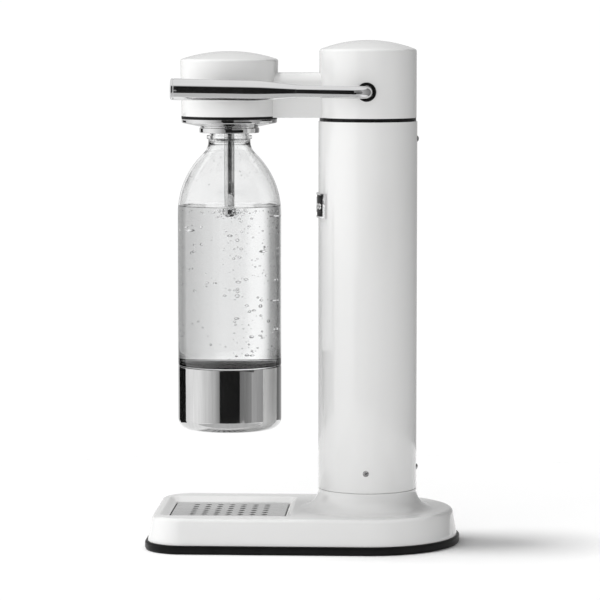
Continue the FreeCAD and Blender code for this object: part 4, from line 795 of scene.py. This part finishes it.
def sky(sides, above, low=-34.0, high=33.0, upper=None):
    """Side light round the horizon, its own light above and below it, and an upper band."""
    side = band(az01, sides, -180, 180)
    top = band(el01, above, -90, 90)
    gate = band(el01, [(-90, 0.0), (low - 1, 0.0), (low + 1, 1.0), (high - 1, 1.0), (high + 1, 0.0), (90, 0.0)], -90, 90)
    total = mnode("ADD", mnode("MULTIPLY", side, gate), mnode("MULTIPLY", top, mnode("SUBTRACT", 1.0, gate)))
    if upper is None:
        return total
    ring = band(el01, [(-90, 0.0), (high - 1, 0.0), (high + 1, 1.0), (61, 1.0), (63, 0.0), (90, 0.0)], -90, 90)
    return mnode("ADD", total, mnode("MULTIPLY", band(az01, upper, -180, 180), ring))


# soft light that shades the matt side of things
SOFT = sky([(-180, 1.15), (-150, 1.35), (-115, 1.7), (-85, 2.0), (-60, 2.12), (-35, 2.13), (-12, 1.9), (8, 1.5), (30, 1.05), (60, 0.66), (100, 0.6), (140, 0.9), (180, 1.15)],
           [(-90, 1.0), (32, 1.0), (34, 0.0), (90, 0.0)],
           upper=[(-180, 0.35), (-130, 0.5), (-85, 0.4), (-45, 0.9), (-10, 1.2), (30, 0.5), (90, 0.0), (140, 0.1), (180, 0.35)])
# what polished surfaces mirror
MIRROR = sky([(-180, 0.8), (-150, 0.8), (-124, 0.95), (-111, 1.2), (-84, 1.4), (-66, 1.28), (-46, 1.0), (-31, 0.75), (-22, 0.5), (-18, 0.45), (26, 0.27), (50, 0.38),
              (53, 0.40), (55, 0.66), (70, 0.56), (92, 0.42), (112, 0.33), (129, 0.23), (145, 0.26), (165, 0.55), (180, 0.8)],
             [(-90, 0.9), (38, 0.9), (41, 1.1), (60, 1.2), (90, 1.15)], high=39.5)
# what the clear bottle and the water look through to
THROUGH = sky([(-180, 1.18), (-175.7, 1.17), (-168, 1.2), (-163, 1.36), (-158, 1.32), (-154.7, 1.2), (-150.7, 0.92), (-145.6, 0.4), (-139, 0.25), (-128, 0.05),
               (-119, 0.06), (-112, 1.7), (-78, 1.6), (-64, 1.05), (-32, 1.05), (-24, 0.05), (38, 0.05), (46, 0.28), (107, 0.3), (128, 0.42), (140, 0.35), (149, 0.56), (157, 0.63), (163, 0.72), (169, 0.88), (174, 0.95), (178.7, 1.15), (180, 1.18)],
              [(-90, 1.1), (32, 1.1), (34, 1.0), (90, 1.0)])
lp = nt.nodes.new("ShaderNodeLightPath")


def choose(fac, off, on):
    n = nt.nodes.new("ShaderNodeMix")
    n.data_type = "FLOAT"
    nt.links.new(fac, n.inputs[0])
    nt.links.new(off, n.inputs[2])
    nt.links.new(on, n.inputs[3])
    return n.outputs[0]


level = choose(lp.outputs["Is Glossy Ray"], SOFT, MIRROR)
level = choose(lp.outputs["Is Transmission Ray"], level, THROUGH)
lit = nt.nodes.new("ShaderNodeBackground")
nt.links.new(level, lit.inputs["Strength"])
plain = nt.nodes.new("ShaderNodeBackground")
plain.inputs["Color"].default_value = (1, 1, 1, 1)
plain.inputs["Strength"].default_value = 1.02
mix = nt.nodes.new("ShaderNodeMixShader")
nt.links.new(lp.outputs["Is Camera Ray"], mix.inputs["Fac"])
nt.links.new(lit.outputs[0], mix.inputs[1])
nt.links.new(plain.outputs[0], mix.inputs[2])
nt.links.new(mix.outputs[0], out.inputs["Surface"])


# black flags: studio cards that only polished surfaces mirror
def flag(name, quads):
    bm = bmesh.new()
    for (x0, y0), (x1, y1), z0, z1 in quads:
        bm.faces.new([bm.verts.new(c) for c in ((x0, y0, z0), (x1, y1, z0), (x1, y1, z1), (x0, y0, z1))])
    me = bpy.data.meshes.new(name)
    bm.to_mesh(me)
    bm.free()
    o = bpy.data.objects.new(name, me)
    bpy.context.scene.collection.objects.link(o)
    me.materials.append(FLAG)
    o.visible_camera = False
    o.visible_diffuse = False
    o.visible_transmission = False
    o.visible_shadow = False
    return o


def flat_card(name, corners, z):
    o = flag(name, [])
    o.data.materials[0] = finish_mat("grey_card", (0.56, 0.56, 0.56), (0.60, 0.60, 0.60), (0.8, 0.9), scale=20, specular=0.0)
    bm = bmesh.new()
    bm.faces.new([bm.verts.new((x, y, z)) for x, y in corners])
    bm.to_mesh(o.data)
    bm.free()
    return o


FLAG = finish_mat("black_card", (0.012, 0.012, 0.012), (0.018, 0.018, 0.018), (0.8, 0.9), scale=20, specular=0.0)
flag("front_card", [((0.55, -0.24), (0.55, 0.20), 0.0, 0.20), ((0.55, -0.164), (0.55, 0.84), 0.20, 0.33), ((0.55, -0.20), (0.55, 0.08), 0.33, 0.70)])
flag("side_cards", [((-0.020, -0.207), (-0.100, -0.168), 0.06, 0.145), ((-0.056, -0.205), (-0.095, -0.168), 0.315, 0.346)])
flat_card("low_card", [(0.085, -0.30), (0.54, -0.30), (0.54, 0.30), (0.085, 0.30)], 0.003)

key = bpy.data.lights.new("key", "SUN")
key.energy = 1.85
key.angle = math.radians(14)
key_ob = bpy.data.objects.new("key", key)
bpy.context.scene.collection.objects.link(key_ob)
az_k, el_k = math.radians(-92), math.radians(71)
key_dir = Vector((math.cos(az_k) * math.cos(el_k), math.sin(az_k) * math.cos(el_k), math.sin(el_k)))
key_ob.rotation_euler = key_dir.to_track_quat("Z", "Y").to_euler()
key_ob.visible_glossy = False
key_ob.visible_transmission = False

# --------------------------------------------------------------------- camera
cam_data = bpy.data.cameras.new("camera")
cam_data.lens = 186.464
cam_data.sensor_width = 36.0
cam_data.clip_start = 0.05
cam_data.clip_end = 200
cam = bpy.data.objects.new("camera", cam_data)
bpy.context.scene.collection.objects.link(cam)
az_c, tilt = math.radians(92.91225), math.radians(5.1525)
fwd = Vector((-math.sin(az_c) * math.cos(tilt), math.cos(az_c) * math.cos(tilt), -math.sin(tilt)))
right = Vector((math.cos(az_c), math.sin(az_c), 0))
up = right.cross(fwd)
cam.matrix_world = Matrix.Translation(Vector((2.54933, 0.12595, 0.43042))) @ Matrix((right, up, -fwd)).transposed().to_4x4()
bpy.context.scene.camera = cam
bpy.context.scene.view_settings.view_transform = "Standard"
bpy.context.scene.view_settings.look = "None"
